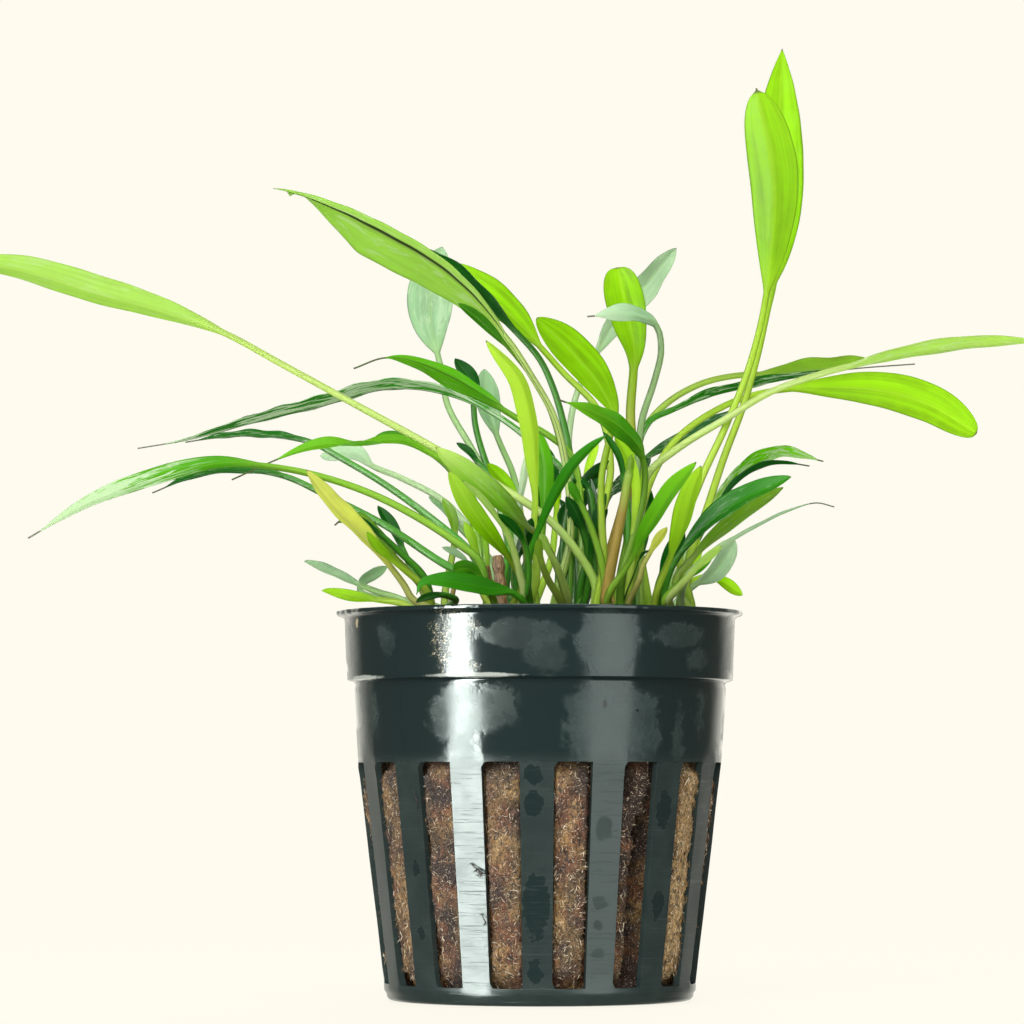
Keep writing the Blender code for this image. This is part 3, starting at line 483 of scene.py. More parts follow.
LOOKS = {
    "high_left_broad": Look(0.35, 0.25, patch=0.45, ripple=0.5, fold=0.42, keel=0.72, torn=0.9, fold_shadow=1.0),
    "high_left_dark": Look(-0.2, 0.1, fold=0.4),
    "long_left_arch": Look(0.9, 0.1, patch=1.7, keel=-0.2, thread=0.93, fold_shadow=0.6),
    "left_arch_green": Look(0.1, 0.35, patch=0.15, keel=0.45, fold=0.4, thread=0.80, fold_shadow=0.6),
    "back_right_grey": Look(0.5, 0.5, patch=0.4),
    # Its dark lower part is painted shade, on the side of it that lies in shadow
    "left_broad_soft": Look(-0.6, 1.0, patch=0.3, ripple=0.4, wide=0.9),
    "right_spoon": Look(-0.25, 0.1, brown=1.0, ripple=0.5),
    "right_lime_broad": Look(-0.1, -0.05, ripple=0.5),
    "right_front_blade": Look(0.05, 0.95, ripple=0.5, wide=0.78),
    "front_dark_arch": Look(-0.45, 0.75, keel=0.3, thread=0.92),
    "inner_hook": Look(0.3, 0.4, fold=0.5, wide=0.5),
    "inner_lime": Look(0.4, 0.3),
    "second_left_high": Look(-0.1, 0.1, ripple=0.7),
    "pale_in_front": Look(-0.35, 0.8, patch=0.4, thread=0.9),
    "long_left_lime": Look(0.5, 0.5, patch=0.3, ripple=0.4),
    "right_arch_olive": Look(0.2, 0.4),
    "far_right_long": Look(0.5, 0.7, patch=0.5, ripple=0.5),
    "right_lime_droop": Look(0.1, 0.15, ripple=0.15, fold=0.15),
    "right_dark_arch": Look(0.5, 0.0, patch=0.9, thread=0.72),
    "right_wet_dark": Look(-0.3, -0.1, patch=0.5),
    "tall_behind": Look(-0.05, 0.1, ripple=0.7),
    "tall_in_front": Look(0.1, 0.2, ripple=0.7, thread=0.985),
    "right_thick_dark": Look(-0.1, 0.7, patch=0.2, keel=0.2),
    "right_olive_tip": Look(-0.1, 0.1, patch=0.2),
    "right_curl": Look(0.1, 0.8, patch=1.2, thread=0.95),
    "right_thread": Look(0.4, 0.2, wide=0.3, thread=0.8),
    "right_low_pale": Look(0.3, 0.4, patch=0.6),
    "right_low_lime": Look(0.1, 0.3),
    "right_lime_blade": Look(0.15, 0.6, ripple=0.4),
    "front_left_olive": Look(-0.5, 1.0, ripple=0.4, keel=0.3, wide=0.85),
    "left_low_long": Look(0.0, 0.3, patch=-1.0, tip_patch=4.5, ripple=0.3, thread=0.95),
    "left_low_dark": Look(0.1, 0.0, patch=0.3, thread=0.9),
    "left_mid_thin": Look(0.2, 0.1, patch=0.5, thread=0.92),
    "front_small_round": Look(-0.2, -0.1),
    "rim_hook": Look(0.6, 0.7, ripple=0.5),
    "left_undulating": Look(0.5, 0.6, ripple=0.6, thread=0.76, edge_on=0.34),
    "centre_lime": Look(0.95, 0.85, ripple=0.4),
    "centre_crossing": Look(0.5, 0.9, ripple=0.4, wide=0.66),
    "back_spoon_pale": Look(0.1, 0.2, patch=0.5, ripple=0.6),
    "back_blue": Look(-0.1, 0.2, patch=0.4),
    "back_dark_tip": Look(-0.1, -0.4),
    "back_dark_small": Look(0.0, -0.2, wide=0.6),
    "back_left_pale": Look(0.4, 0.5, patch=0.6),
    "left_yellow": Look(0.3, 0.4, ripple=0.5),
    "left_yellow_inner": Look(-0.1, 0.0),
    "left_low_grey": Look(0.0, 0.3, patch=0.5),
    "left_rim_lime": Look(0.3, 0.3),
    "left_pale_upright": Look(0.1, 0.3, patch=0.4),
}

# Young leaves, side stems and stubs that only show between the others: each with how it looks
YOUNG = {
    "front_light_stem": (Leaf(
        "front", "soft", [(-2.1, 52.5), (-2.6, 55.0), (-3.4, 58.0)],
        [(-4.2, 60.2), (-6.0, 62.9), (-8.0, 65.3), (-10.0, 67.0)],
        depth=-27, width=0.9, turn=-20, taper=0.6), Look(0.7, 0.6)),
    "front_olive_stem": (Leaf(
        "front", "olive", [(-1.6, 54.5), (-1.7, 57.6)], [(-2.2, 59.6), (-2.7, 61.2), (-3.4, 63.0)],
        depth=-16, width=1.2, turn=0), Look(-0.2, 0.1, brown=0.7)),
    "front_dark_stem": (Leaf(
        "front", "dark", [(-3.0, 52.5), (-3.1, 54.6)], [(-2.9, 57.0), (-1.8, 59.8), (-1.0, 62.2)],
        depth=-14, width=1.7, turn=0), Look(-0.6, -0.4)),
    "front_lime_side": (Leaf(
        "front", "lime", [(-7.4, 52.6), (-7.8, 55.5)], [(-8.2, 57.6), (-8.8, 59.6), (-9.8, 61.7)],
        depth=-10, width=1.3, turn=10), Look(0.3, 0.5)),
    "front_behind_undulating": (Leaf(
        "front", "green", [(-7.6, 58.0), (-9.4, 64.0), (-11.4, 68.2)],
        [(-14.2, 70.7), (-17.0, 72.3), (-20.0, 72.8), (-22.0, 72.1)],
        depth=-2, width=1.7, turn=30), Look(0.0, -0.3)),
    "middle_mint_stem": (Leaf(
        "middle", "soft", [(3.6, 52.0), (3.0, 54.0), (2.0, 56.4)], [(1.2, 57.8), (0.6, 59.0), (0.1, 60.2)],
        depth=-25, width=1.2, turn=0), Look(0.8, 0.6)),
    "middle_olive_stem": (Leaf(
        "middle", "olive", [(2.4, 52.0), (1.3, 53.8), (0.5, 55.6)],
        [(0.1, 57.0), (-0.1, 58.2), (-0.2, 59.5)],
        depth=-27, width=1.2, turn=20), Look(0.5, 0.2)),
    # The dark young leaves of the middle crown fill its shaded middle; their darkness is partly painted shade
    "middle_dark_left": (Leaf(
        "middle", "dark", [(5.4, 54.0), (6.2, 57.5)], [(5.6, 60.5), (4.6, 63.0), (3.4, 65.0)],
        depth=-6, width=1.7, turn=20), Look(-0.5, -0.3)),
    "middle_dark_upright": (Leaf(
        "middle", "dark", [(6.6, 54.0), (6.9, 58.0)], [(7.0, 61.0), (6.9, 64.5), (6.6, 67.4)],
        depth=2, width=1.4, turn=-15), Look(-0.5, -0.3)),
    "middle_dark_right": (Leaf(
        "middle", "dark", [(2.4, 54.0), (2.6, 57.0)], [(3.6, 60.5), (5.4, 64.0), (6.8, 66.2), (8.6, 68.8)],
        depth=6, width=1.4, turn=10), Look(-0.5, -0.2)),
    "middle_dark_spear": (Leaf(
        "middle", "dark", [(5.0, 60.0), (6.6, 63.0)], [(8.6, 65.0), (10.6, 66.6), (12.8, 68.4), (14.4, 70.0)],
        depth=10, width=2.3, turn=-20), Look(-0.6, -0.5, patch=0.7)),
    "middle_dark_crossing": (Leaf(
        "middle", "dark", [(3.4, 62.0), (4.2, 65.2)], [(5.4, 66.8), (7.2, 68.2), (9.4, 69.6)],
        depth=2, width=1.7, turn=30), Look(-0.7, -0.5)),
    "middle_lime_thin": (Leaf(
        "middle", "lime", [(6.0, 58.0), (5.6, 63.0)], [(5.9, 67.0), (6.6, 69.6), (7.6, 72.0)],
        depth=10, width=1.1, turn=0), Look(0.6, 0.7)),
    "middle_shadow_left": (Leaf(
        "middle", "dark", [(4.6, 53.0), (5.2, 56.0)], [(5.4, 58.4), (4.4, 61.8), (2.6, 64.6)],
        depth=8, width=1.7, turn=-30), Look(-0.5, -0.4)),
    "middle_shadow_right": (Leaf(
        "middle", "dark", [(6.0, 52.0), (6.4, 54.6)], [(6.6, 57.0), (7.2, 60.4), (8.8, 63.4)],
        depth=-8, width=1.4, turn=20), Look(-0.5, -0.4)),
    "middle_dark_knot": (Leaf(
        "middle", "dark", [(5.0, 55.0), (4.6, 58.5)], [(3.4, 60.6), (3.0, 62.4), (4.6, 64.2), (6.0, 65.2)],
        depth=4, width=1.8, turn=0), Look(-0.6, -0.4)),
    "middle_dark_low": (Leaf(
        "middle", "dark", [(6.2, 55.0), (6.2, 58.4)], [(5.8, 60.6), (4.9, 62.0), (3.6, 63.2)],
        depth=-4, width=1.7, turn=15), Look(-0.5, -0.3)),
    "middle_dark_bar": (Leaf(
        "middle", "dark", [(7.2, 58.0), (6.9, 63.6)], [(6.4, 66.0), (5.4, 66.9), (4.2, 67.2)],
        depth=-3, width=1.3, turn=0), Look(-0.4, -0.2)),
    # A dark stem where the broad leaf's shade falls; its darkness is partly painted shade
    "dark_under_broad": (Leaf(
        "front", "dark", [(-1.6, 53.0), (-1.5, 57.0)], [(-2.0, 59.0), (-3.4, 61.0), (-5.4, 62.8)],
        depth=-24, width=1.2, turn=-20, stalk=0.8), Look(0.0, -0.2)),
    "under_high_left": (Leaf(
        "middle", "green", [(4.0, 60.0), (3.0, 70.0), (0.5, 78.0), (-2.6, 82.6)],
        [(-4.3, 84.6), (-6.2, 86.6), (-8.4, 88.6), (-10.6, 90.2)],
        depth=-9, width=1.5, turn=-20, stalk=0.6), Look(-0.5, -0.1)),
    "brown_stalk": (Leaf(
        "right_front", "olive", [(8.6, 51.6), (9.0, 54.5), (9.9, 59.0), (10.8, 63.5), (11.3, 66.5)],
        [(11.6, 68.0), (11.8, 69.2), (11.9, 70.4)],
        depth=-20, width=0.9, turn=0, stalk=1.35), Look(0.3, 0.2, brown=2.0)),
    "lime_strip": (Leaf(
        "right_front", "lime", [(11.6, 54.0), (12.0, 58.0)],
        [(12.2, 61.0), (12.5, 64.5), (12.4, 68.0), (12.0, 70.5)],
        depth=-19, width=1.1, turn=0), Look(0.9, 0.9)),
    "back_dark_upright": (Leaf(
        "back", "dark", [(-2.6, 53.0), (-1.6, 57.0)], [(-0.8, 60.0), (0.4, 64.0), (1.4, 68.0), (1.0, 71.5)],
        depth=12, width=2.6, turn=10), Look(-0.5, -0.1)),
    "back_green_upright": (Leaf(
        "back", "green", [(-1.0, 54.0), (0.2, 59.0)], [(0.5, 62.0), (0.8, 66.0), (0.6, 70.0), (-0.4, 74.0)],
        depth=4, width=2.2, turn=-15), Look(0.2, 0.4)),
    "back_lime_chip": (Leaf(
        "back", "lime", [(1.5, 57.0), (2.0, 61.0)], [(2.2, 63.5), (2.0, 66.0), (1.4, 68.6)],
        depth=14, width=1.7, turn=0), Look(0.3, 0.5)),
    "back_dried_stem": (Leaf(
        "back", "pale", [(-3.0, 56.0), (-2.9, 61.0)], [(-2.6, 64.3), (-2.1, 67.4), (-1.7, 70.6)],
        depth=-4, width=1.0, turn=0), Look(1.0, 1.0)),
    "back_grey_left": (Leaf(
        "back", "pale", [(-5.0, 55.0), (-8.0, 58.5)], [(-10.4, 61.0), (-12.4, 63.6), (-14.4, 65.0)],
        depth=24, width=1.4, turn=20), Look(-0.2, 0.1)),
    "stem_in_front": (Leaf(
        "right_front", "green", [(8.0, 56.5), (7.0, 60.0), (6.0, 62.6)],
        [(5.2, 64.3), (4.4, 65.8), (3.9, 67.0)],
        depth=-16, width=1.2, turn=0), Look(-0.1, -0.1)),
    "old_yellow_leaf": (Leaf(
        "right_front", "yellow", [(12.9, 54.2), (13.4, 56.0)], [(14.4, 57.9), (15.4, 59.5), (16.5, 61.0)],
        depth=-20, width=1.2, turn=20, stalk=0.8), Look(0.1, 0.1, brown=0.2)),
    "olive_stem_right": (Leaf(
        "right_front", "olive", [(11.8, 52.0), (12.0, 54.0)], [(12.4, 56.0), (12.9, 58.6), (13.0, 61.0)],
        depth=-12, width=1.3, turn=0), Look(0.4, 0.1)),
    "dark_beside_stalk": (Leaf(
        "right_front", "dark", [(7.3, 52.4), (7.0, 56.0)], [(6.9, 58.6), (7.2, 61.6), (8.6, 65.4)],
        depth=-2, width=1.4, turn=0), Look(-0.5, -0.4)),
    "dark_wisp": (Leaf(
        "right_front", "dark", [(12.4, 55.4)], [(12.9, 56.8), (13.4, 57.6), (14.2, 58.0)],
        depth=-24, width=0.4, turn=0, stalk=0.25), Look(-0.6, -0.8)),
    "green_behind_stalk": (Leaf(
        "right_front", "green", [(10.0, 52.0), (10.6, 56.0)], [(11.2, 59.0), (11.6, 62.0), (11.0, 65.6)],
        depth=4, width=2.2, turn=15), Look(-0.4, -0.2)),
    "dark_at_right_foot": (Leaf(
        "right_edge", "dark", [(15.2, 52.6)], [(15.8, 54.8), (17.2, 57.6), (18.6, 60.8)],
        depth=-10, width=2.4, turn=20), Look(-0.1, 0.0)),
    "lime_at_right_foot": (Leaf(
        "right_edge", "lime", [(18.4, 51.6), (19.2, 53.8)], [(19.8, 55.6), (20.4, 57.4), (20.7, 59.4)],
        depth=2, width=1.2, turn=10), Look(0.4, 0.5)),
    "soft_at_right_foot": (Leaf(
        "right_edge", "soft", [(16.9, 51.9), (18.4, 53.6)], [(20.0, 55.4), (21.8, 57.1), (23.6, 58.6)],
        depth=-24, width=1.1, turn=0), Look(0.6, 0.6)),
    "green_at_right_foot": (Leaf(
        "right_edge", "green", [(16.2, 51.6), (17.6, 53.2)], [(19.2, 54.6), (20.6, 55.6), (22.4, 57.4)],
        depth=-18, width=1.2, turn=20), Look(0.0, 0.2)),
    "right_back_thin": (Leaf(
        "right_back", "dark", [(18.8, 56.0), (21.0, 60.4)],
        [(22.8, 63.2), (25.5, 67.0), (29.5, 69.2), (33.0, 69.3), (35.0, 69.0)],
        depth=20, width=1.6, turn=60), Look(-0.2, -0.1, thread=0.9)),
    "right_back_dark": (Leaf(
        "right_back", "dark", [(12.4, 53.0), (13.0, 57.0)], [(13.8, 60.0), (14.0, 64.0), (12.6, 68.0)],
        depth=12, width=2.2, turn=-20), Look(-0.5, -0.3)),
    "left_curl": (Leaf(
        "left", "dark", [(-15.0, 54.5), (-18.0, 57.6)],
        [(-20.6, 60.0), (-22.8, 61.7), (-24.5, 62.4), (-25.6, 62.1), (-26.6, 61.3)],
        depth=-12, width=1.0, turn=50), Look(-0.2, -0.4, thread=0.7)),
    "left_second_yellow": (Leaf(
        "left", "lime", [(-15.0, 53.2), (-17.2, 55.2)], [(-19.0, 56.7), (-21.0, 58.4), (-22.4, 60.4)],
        depth=-14, width=1.4, turn=-30), Look(0.2, 0.2)),
    "left_rim_arc": (Leaf(
        "left", "dark", [(-11.0, 51.7)], [(-12.6, 52.2), (-14.4, 52.0), (-16.0, 51.3)],
        depth=-18, width=1.1, turn=30), Look(-0.3, -0.3)),
    "left_dry_sheath": (Leaf(
        "left", "pale", [(-11.0, 53.5), (-10.0, 55.5)], [(-9.6, 56.6), (-10.8, 57.6), (-12.6, 58.4)],
        depth=-6, width=1.0, turn=20, stalk=0.7), Look(0.3, 0.3, brown=2.0)),
    "left_back_stem": (Leaf(
        "left", "olive", [(-12.2, 53.0), (-11.4, 57.0)], [(-11.0, 60.0), (-11.4, 62.6), (-12.6, 64.8)],
        depth=10, width=1.4, turn=0), Look(0.0, 0.2)),
}


def sighted(across, up, depth):
    """The point that far behind the upright plane through the axis that is seen at (across, up)."""
    eye = Vector(SIGHT_POINT)
    on_plane = Vector((across, 0.0, up))
    return eye + (on_plane - eye) * ((depth - eye.y) / -eye.y)


def foot_bearings(crown_name):
    """The bearing of each leaf's foot round its crown, moved apart where leaves would share a place."""
    crown_across, crown_depth = CROWNS[crown_name]
    leaving = {}
    for name, leaf in LEAVES.items():
        if leaf.crown == crown_name:
            first, base = leaf.petiole[0][0], leaf.blade[0][0]
            across = first + BASE_PULL * (base - first)
            ahead = TIP_PULL * (leaf.depth - crown_depth)
            leaving[name] = math.atan2(ahead, across - crown_across)
    order = sorted(leaving, key=leaving.get)
    bearings = [leaving[name] for name in order]
    count = len(order)
    least = min(math.radians(FOOT_SPACING), 2 * math.pi / count)
    for _ in range(SPREADING_ROUNDS):
        for k in range(count):
            n = (k + 1) % count
            whole_turn = 2 * math.pi if n == 0 else 0.0
            short = least - (bearings[n] + whole_turn - bearings[k])
            if short > 0:
                bearings[k] -= short / 2
                bearings[n] += short / 2
    return dict(zip(order, bearings))


def held(value):
    """The value, held between 0 and 1."""
    return min(1.0, max(0.0, value))


def unit_rows(vectors):
    """Each row as a direction, of length 1."""
    return vectors / np.linalg.norm(vectors, axis=1)[:, None]


def run_along(points, power=1.0):
    """How far along a line each of its points is, with every step raised to a power."""
    steps = np.linalg.norm(np.diff(points, axis=0), axis=1)
    return np.concatenate([[0.0], np.cumsum(steps**power)])


def path_through(points, stations):
    """Points on a smooth curve through the given points, at shares of its length.

    stations is given the share of each given point, and returns the shares that are wanted.
    """
    p = np.array(points, float)
    knots = run_along(p, 0.75)
    ahead = np.diff(p, axis=0) / np.diff(knots)[:, None]
    slope = np.empty_like(p)
    slope[0], slope[-1] = ahead[0], ahead[-1]
    before, after = np.diff(knots)[:-1, None], np.diff(knots)[1:, None]
    slope[1:-1] = (ahead[:-1] * after + ahead[1:] * before) / (before + after)
    fine = np.linspace(0.0, knots[-1], 40 * len(p))
    k = np.clip(np.searchsorted(knots, fine, side="right") - 1, 0, len(p) - 2)
    h = (knots[k + 1] - knots[k])[:, None]
    t = ((fine - knots[k]) / h[:, 0])[:, None]
    curve = (
        (2 * t**3 - 3 * t**2 + 1) * p[k] + (t**3 - 2 * t**2 + t) * h * slope[k]
        + (3 * t**2 - 2 * t**3) * p[k + 1] + (t**3 - t**2) * h * slope[k + 1]
    )
    length = run_along(curve)
    shares = np.interp(knots, fine, length) / length[-1]
    wanted = stations(shares) * length[-1]
    return np.stack([np.interp(wanted, length, curve[:, i]) for i in range(3)], axis=1)


def young_bearing(leaf):
    """The bearing of a young leaf's foot round its crown: towards its first point and its depth."""
    crown_across, crown_depth = CROWNS[leaf.crown]
    return math.atan2(TIP_PULL * (leaf.depth - crown_depth), leaf.petiole[0][0] - crown_across)


def leaf_points(leaf, bearing, ring):
    """The given points of a leaf's middle line in space, from its foot on the crown to its tip."""
    crown_across, crown_depth = CROWNS[leaf.crown]
    foot = Vector((
        crown_across + ring * math.cos(bearing),
        crown_depth + ring * math.sin(bearing), LEAF_FOOT))
    lean = (COLLAR_LEAN * math.cos(bearing), COLLAR_LEAN * math.sin(bearing), COLLAR_RISE)
    collar = foot + Vector(lean)
    marks = [*leaf.petiole, *leaf.blade]
    flat = [(foot.x, foot.z), *marks]
    steps = [math.dist(a, b) for a, b in zip(flat, flat[1:])]
    points = [foot, collar]
    for k, (across, up) in enumerate(marks):
        share = sum(steps[: k + 1]) / sum(steps)
        depth = foot.y * (1 - share) + leaf.depth * share + 4 * leaf.bow * share * (1 - share)
        points.append(sighted(across, up, depth))
    return points


def leaf_line(points, base_index, fineness):
    """Stations along a leaf: points in space, and each one's share of the petiole and the blade."""
    even = np.linspace(0.0, 1.0, fineness.blade)
    blade_shares = 0.5 * even + 0.5 * (0.5 - 0.5 * np.cos(math.pi * even))
    stalk_shares = np.arange(fineness.petiole) / fineness.petiole

    def stations(shares):
        base = shares[base_index]
        return np.concatenate([base * stalk_shares, base + (1 - base) * blade_shares])

    line = path_through(points, stations)
    along_petiole = np.concatenate([stalk_shares, np.ones(fineness.blade)])
    along_blade = np.concatenate([np.zeros(fineness.petiole), blade_shares])
    return line, along_petiole, along_blade


def blade_half_width(leaf, share):
    """A lance shape: narrow where it leaves the petiole, and blunter at the tip for a low taper."""
    widest = BASE_RISE / (BASE_RISE + leaf.taper)
    peak = widest**BASE_RISE * (1 - widest) ** leaf.taper
    return 0.5 * leaf.width * share**BASE_RISE * (1 - share) ** leaf.taper / peak


def leaf_frames(leaf, look, line, along_petiole, along_blade):
    """For each station, the direction across the blade and the direction its upper face looks."""
    tangents = unit_rows(np.gradient(line, axis=0))
    sight = line - np.array(SIGHT_POINT)
    level = unit_rows(np.cross(sight, tangents))
    away = np.cross(tangents, level)
    off_edge = (along_blade - look.edge_on) / EDGE_ON_REACH
    twist = np.exp(-(off_edge**2)) if look.edge_on > 0 else 0.0
    side = 1.0 if leaf.turn > 0 else -1.0
    degrees = leaf.turn + (90.0 * side - leaf.turn) * twist
    turn = np.radians(degrees * np.clip((along_petiole - 0.6) / 0.4, 0.0, 1.0))[:, None]
    across = np.cos(turn) * level + np.sin(turn) * away
    face = np.cos(turn) * away - np.sin(turn) * level
    if face[along_blade > 0, 2].sum() < 0:
        face = -face
    return across, face


def tear(look, along, rng):
    """How much of the lower half of the blade is left at each station, up to its tear and past it."""
    if look.torn >= 1.0:
        return np.ones_like(along)
    before = np.clip((along - look.torn + TEAR_TAPER) / TEAR_TAPER, 0.0, 1.0)
    rag = 0.5 * np.exp(-(((along - look.torn - TEAR_LENGTH) / (0.4 * TEAR_LENGTH)) ** 2))
    ragged = 1 + 0.3 * rng.uniform(-1, 1, len(along)) * (before > 0.9)
    return np.clip((1 - before) ** 0.6 * ragged + rag, 0.03, 1.0)


def leaf_mesh(name, leaf, look, points, fineness, number):
    """A thin closed leaf: a round petiole that opens into a folded, rippled blade with a midrib."""
    rng = np.random.default_rng(LEAF_SEED + number)
    line, along_petiole, along_blade = leaf_line(points, 2 + len(leaf.petiole), fineness)
    across, face = leaf_frames(leaf, look, line, along_petiole, along_blade)
    length = run_along(line)
    stalk = 0.5 * leaf.stalk * (PETIOLE_WIDTH + (PETIOLE_NECK - PETIOLE_WIDTH) * along_petiole)
    on_blade = np.minimum(along_blade / look.thread, 1.0)
    blade = look.wide * blade_half_width(leaf, on_blade)
    fade = 1 - on_blade
    half_width = np.maximum(np.hypot(stalk * fade**2, blade), LEAST_HALF_WIDTH)
    if look.thread < 1:
        half_width = np.where(along_blade > 0, np.maximum(half_width, 0.5 * THREAD_WIDTH), half_width)
    flat = np.clip(on_blade / FLAT_FROM, 0.0, 1.0) ** 0.6
    half_depth = stalk * (1 - flat) + BLADE_HALF_DEPTH * flat * (1 - TIP_THINNING + TIP_THINNING * fade)
    half_depth = np.maximum(half_depth, LEAST_HALF_DEPTH)

    theta = math.pi * np.arange(fineness.across + 1) / fineness.across
    u = -np.cos(theta)
    round_rise = np.sin(theta)
    off_keel = u - look.keel
    ripple = look.ripple * rng.uniform(*RIPPLE) * np.minimum(blade, 2.0)
    wave = length / rng.uniform(*RIPPLE_LENGTH) * 2 * math.pi
    phase = rng.uniform(0, 2 * math.pi, 2)
    tone = rng.uniform(-1, 1)
    left_over = tear(look, along_blade, rng)
    rings, facts = [], []
    for k in range(len(line)):
        side = np.where(u < 0, np.sin(wave[k] + phase[0]), np.sin(1.13 * wave[k] + phase[1]))
        fold = look.fold * blade[k] * (np.sqrt(off_keel**2 + 0.02) - 0.5)
        lift = fold + ripple[k] * side * np.abs(u) ** 1.5
        rise = half_depth[k] * (round_rise * (1 - flat[k]) + round_rise**0.6 * flat[k])
        width_mm = half_width[k]
        rib = np.exp(-((off_keel * width_mm / MIDRIB_WIDTH) ** 2)) * flat[k] * (0.3 + 0.7 * fade[k])
        top = lift + rise - MIDRIB_GROOVE * rib
        under = lift - rise - MIDRIB_RIDGE * rib
        x = width_mm * np.where(off_keel < 0, look.keel + off_keel * left_over[k], u)
        upper = line[k] + x[:, None] * across[k] + top[:, None] * face[k]
        lower = line[k] + x[1:-1, None] * across[k] + under[1:-1, None] * face[k]
        rings.append(np.concatenate([upper, lower[::-1]]))
        along = on_blade[k] if along_blade[k] > 0 else along_petiole[k] - 1.0
        off = off_keel / np.where(off_keel < 0, 1 + look.keel, 1 - look.keel)
        if along_blade[k] == 0:
            off = u
        around = np.concatenate([off, off[1:-1][::-1]])
        facts.append(np.stack([around, np.full_like(around, along), np.full_like(around, tone)], axis=1))
    facts = np.array(facts)
    mesh = ring_mesh(name, np.array(rings) * MM, facts)
    add_look(mesh, look, np.clip(facts[:, :, 1], 0.0, 1.0))
    return mesh


def add_look(mesh, look, along_blade):
    """Keeps how pale (below zero partly painted shade), how brown, and how much milky film and painted sheen
    a leaf has at each point, and how dark the painted shadow of its fold is.
    """
    light = look.light + (look.tip_light - look.light) * along_blade
    tip_patch = look.patch if look.tip_patch is None else look.tip_patch
    patch = look.patch + (tip_patch - look.patch) * along_blade
    kinds = np.stack([light, np.full_like(light, look.brown), patch], axis=-1)
    add_facts(mesh, "look", kinds)
    add_number(mesh, "rib", np.full(len(mesh.vertices), look.fold_shadow))


def add_facts(mesh, name, facts):
    """Keeps three numbers for each point of a mesh, for its material to read."""
    layer = mesh.attributes.new(name, "FLOAT_VECTOR", "POINT")
    layer.data.foreach_set("vector", np.asarray(facts).reshape(-1).astype(np.float32))


def add_number(mesh, name, values):
    """Keeps one number for each point of a mesh."""
    layer = mesh.attributes.new(name, "FLOAT", "POINT")
    layer.data.foreach_set("value", np.asarray(values, np.float32))


def ring_mesh(name, rings, facts=None):
    """One closed mesh through rings of points, with a cap at each end and a fact for each point."""
    steps, sides = rings.shape[:2]
    k, c = np.meshgrid(np.arange(steps - 1), np.arange(sides), indexing="ij")
    n = (c + 1) % sides
    faces = np.stack([k * sides + c, k * sides + n, (k + 1) * sides + n, (k + 1) * sides + c], axis=-1)
    faces = faces.reshape(-1, 4).tolist()
    faces.append(list(range(sides))[::-1])
    faces.append([(steps - 1) * sides + j for j in range(sides)])
    mesh = bpy.data.meshes.new(name)
    mesh.from_pydata(rings.reshape(-1, 3).tolist(), [], faces)
    if facts is not None:
        add_facts(mesh, "leaf", facts)
    face_out(mesh)
    mesh.shade_smooth()
    return mesh


def face_out(mesh):
    """Turns every face of a closed mesh outwards."""
    bm = bmesh.new()
    bm.from_mesh(mesh)
    bmesh.ops.recalc_face_normals(bm, faces=bm.faces)
    bm.to_mesh(mesh)
    bm.free()


def add_piece(name, mesh, material, slot, *nodes):
    """A finished piece of the plant or its pot, that rides on the root and may stand for nodes."""
    mesh.materials.append(material)
    piece = bpy.data.objects.new(name, mesh)
    bpy.context.scene.collection.objects.link(piece)
    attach(piece, "root")
    if nodes:
        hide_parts(*nodes)
    return piece


class Nodes:
    """A node tree, whose nodes are added one by one."""

    def __init__(self, tree):
        self.tree = tree
        tree.nodes.clear()

    def add(self, kind, inputs=None, **settings):
        """Adds a node, with each of its inputs set to a value or joined to an output."""
        node = self.tree.nodes.new("ShaderNode" + kind)
        for key, value in settings.items():
            setattr(node, key, value)
        for key, value in (inputs or {}).items():
            if isinstance(value, bpy.types.NodeSocket):
                self.tree.links.new(value, node.inputs[key])
            else:
                node.inputs[key].default_value = value
        return node

    def math(self, operation, a, b=0.0, clamp=False):
        return self.add("Math", {0: a, 1: b}, operation=operation, use_clamp=clamp).outputs[0]

    def times(self, a, b, clamp=False):
        return self.math("MULTIPLY", a, b, clamp)

    def plus(self, a, b):
        return self.math("ADD", a, b)

    def between(self, share, a, b):
        """A number that goes from a to b by the share."""
        return self.add("Mix", {0: share, 2: a, 3: b}).outputs[0]

    def mix(self, share, a, b):
        """A colour that goes from a to b by the share."""
        node = self.add("Mix", {0: share}, data_type="RGBA")
        for index, value in ((6, a), (7, b)):
            if isinstance(value, bpy.types.NodeSocket):
                self.tree.links.new(value, node.inputs[index])
            else:
                node.inputs[index].default_value = (*value, 1.0)
        return node.outputs[2]

    def ramp(self, value, low, high, from_value=0.0, to_value=1.0, smooth=False):
        """The value carried from low and high to other values, and held at those beyond them."""
        inputs = {0: value, 1: low, 2: high, 3: from_value, 4: to_value}
        kind = "SMOOTHSTEP" if smooth else "LINEAR"
        return self.add("MapRange", inputs, interpolation_type=kind).outputs[0]

    def noise(self, vector, scale, detail=2.0, roughness=0.5, distortion=0.0):
        inputs = {"Vector": vector, "Scale": scale, "Detail": detail, "Roughness": roughness,
                  "Distortion": distortion}
        return self.add("TexNoise", inputs).outputs[0]

    def stretched(self, vector, across, along, up):
        """The place with each of its parts multiplied."""
        return self.add("VectorMath", {0: vector, 1: (across, along, up)}, operation="MULTIPLY").outputs[0]

    def millimetres(self):
        """The place on the piece, in millimetres."""
        place = self.add("TexCoord").outputs["Object"]
        return self.stretched(place, 1000.0, 1000.0, 1000.0)

    def bump(self, height, strength, distance):
        inputs = {"Height": height, "Strength": strength, "Distance": distance}
        return self.add("Bump", inputs).outputs[0]


class Finish(Nodes):
    """A material and its nodes."""

    def __init__(self, name):
        self.material = bpy.data.materials.new(name)
        self.material.use_nodes = True
        super().__init__(self.material.node_tree)

    def close(self, shader):
        """Joins the shader to the output, and returns the finished material."""
        self.add("OutputMaterial", {"Surface": shader})
        return self.material


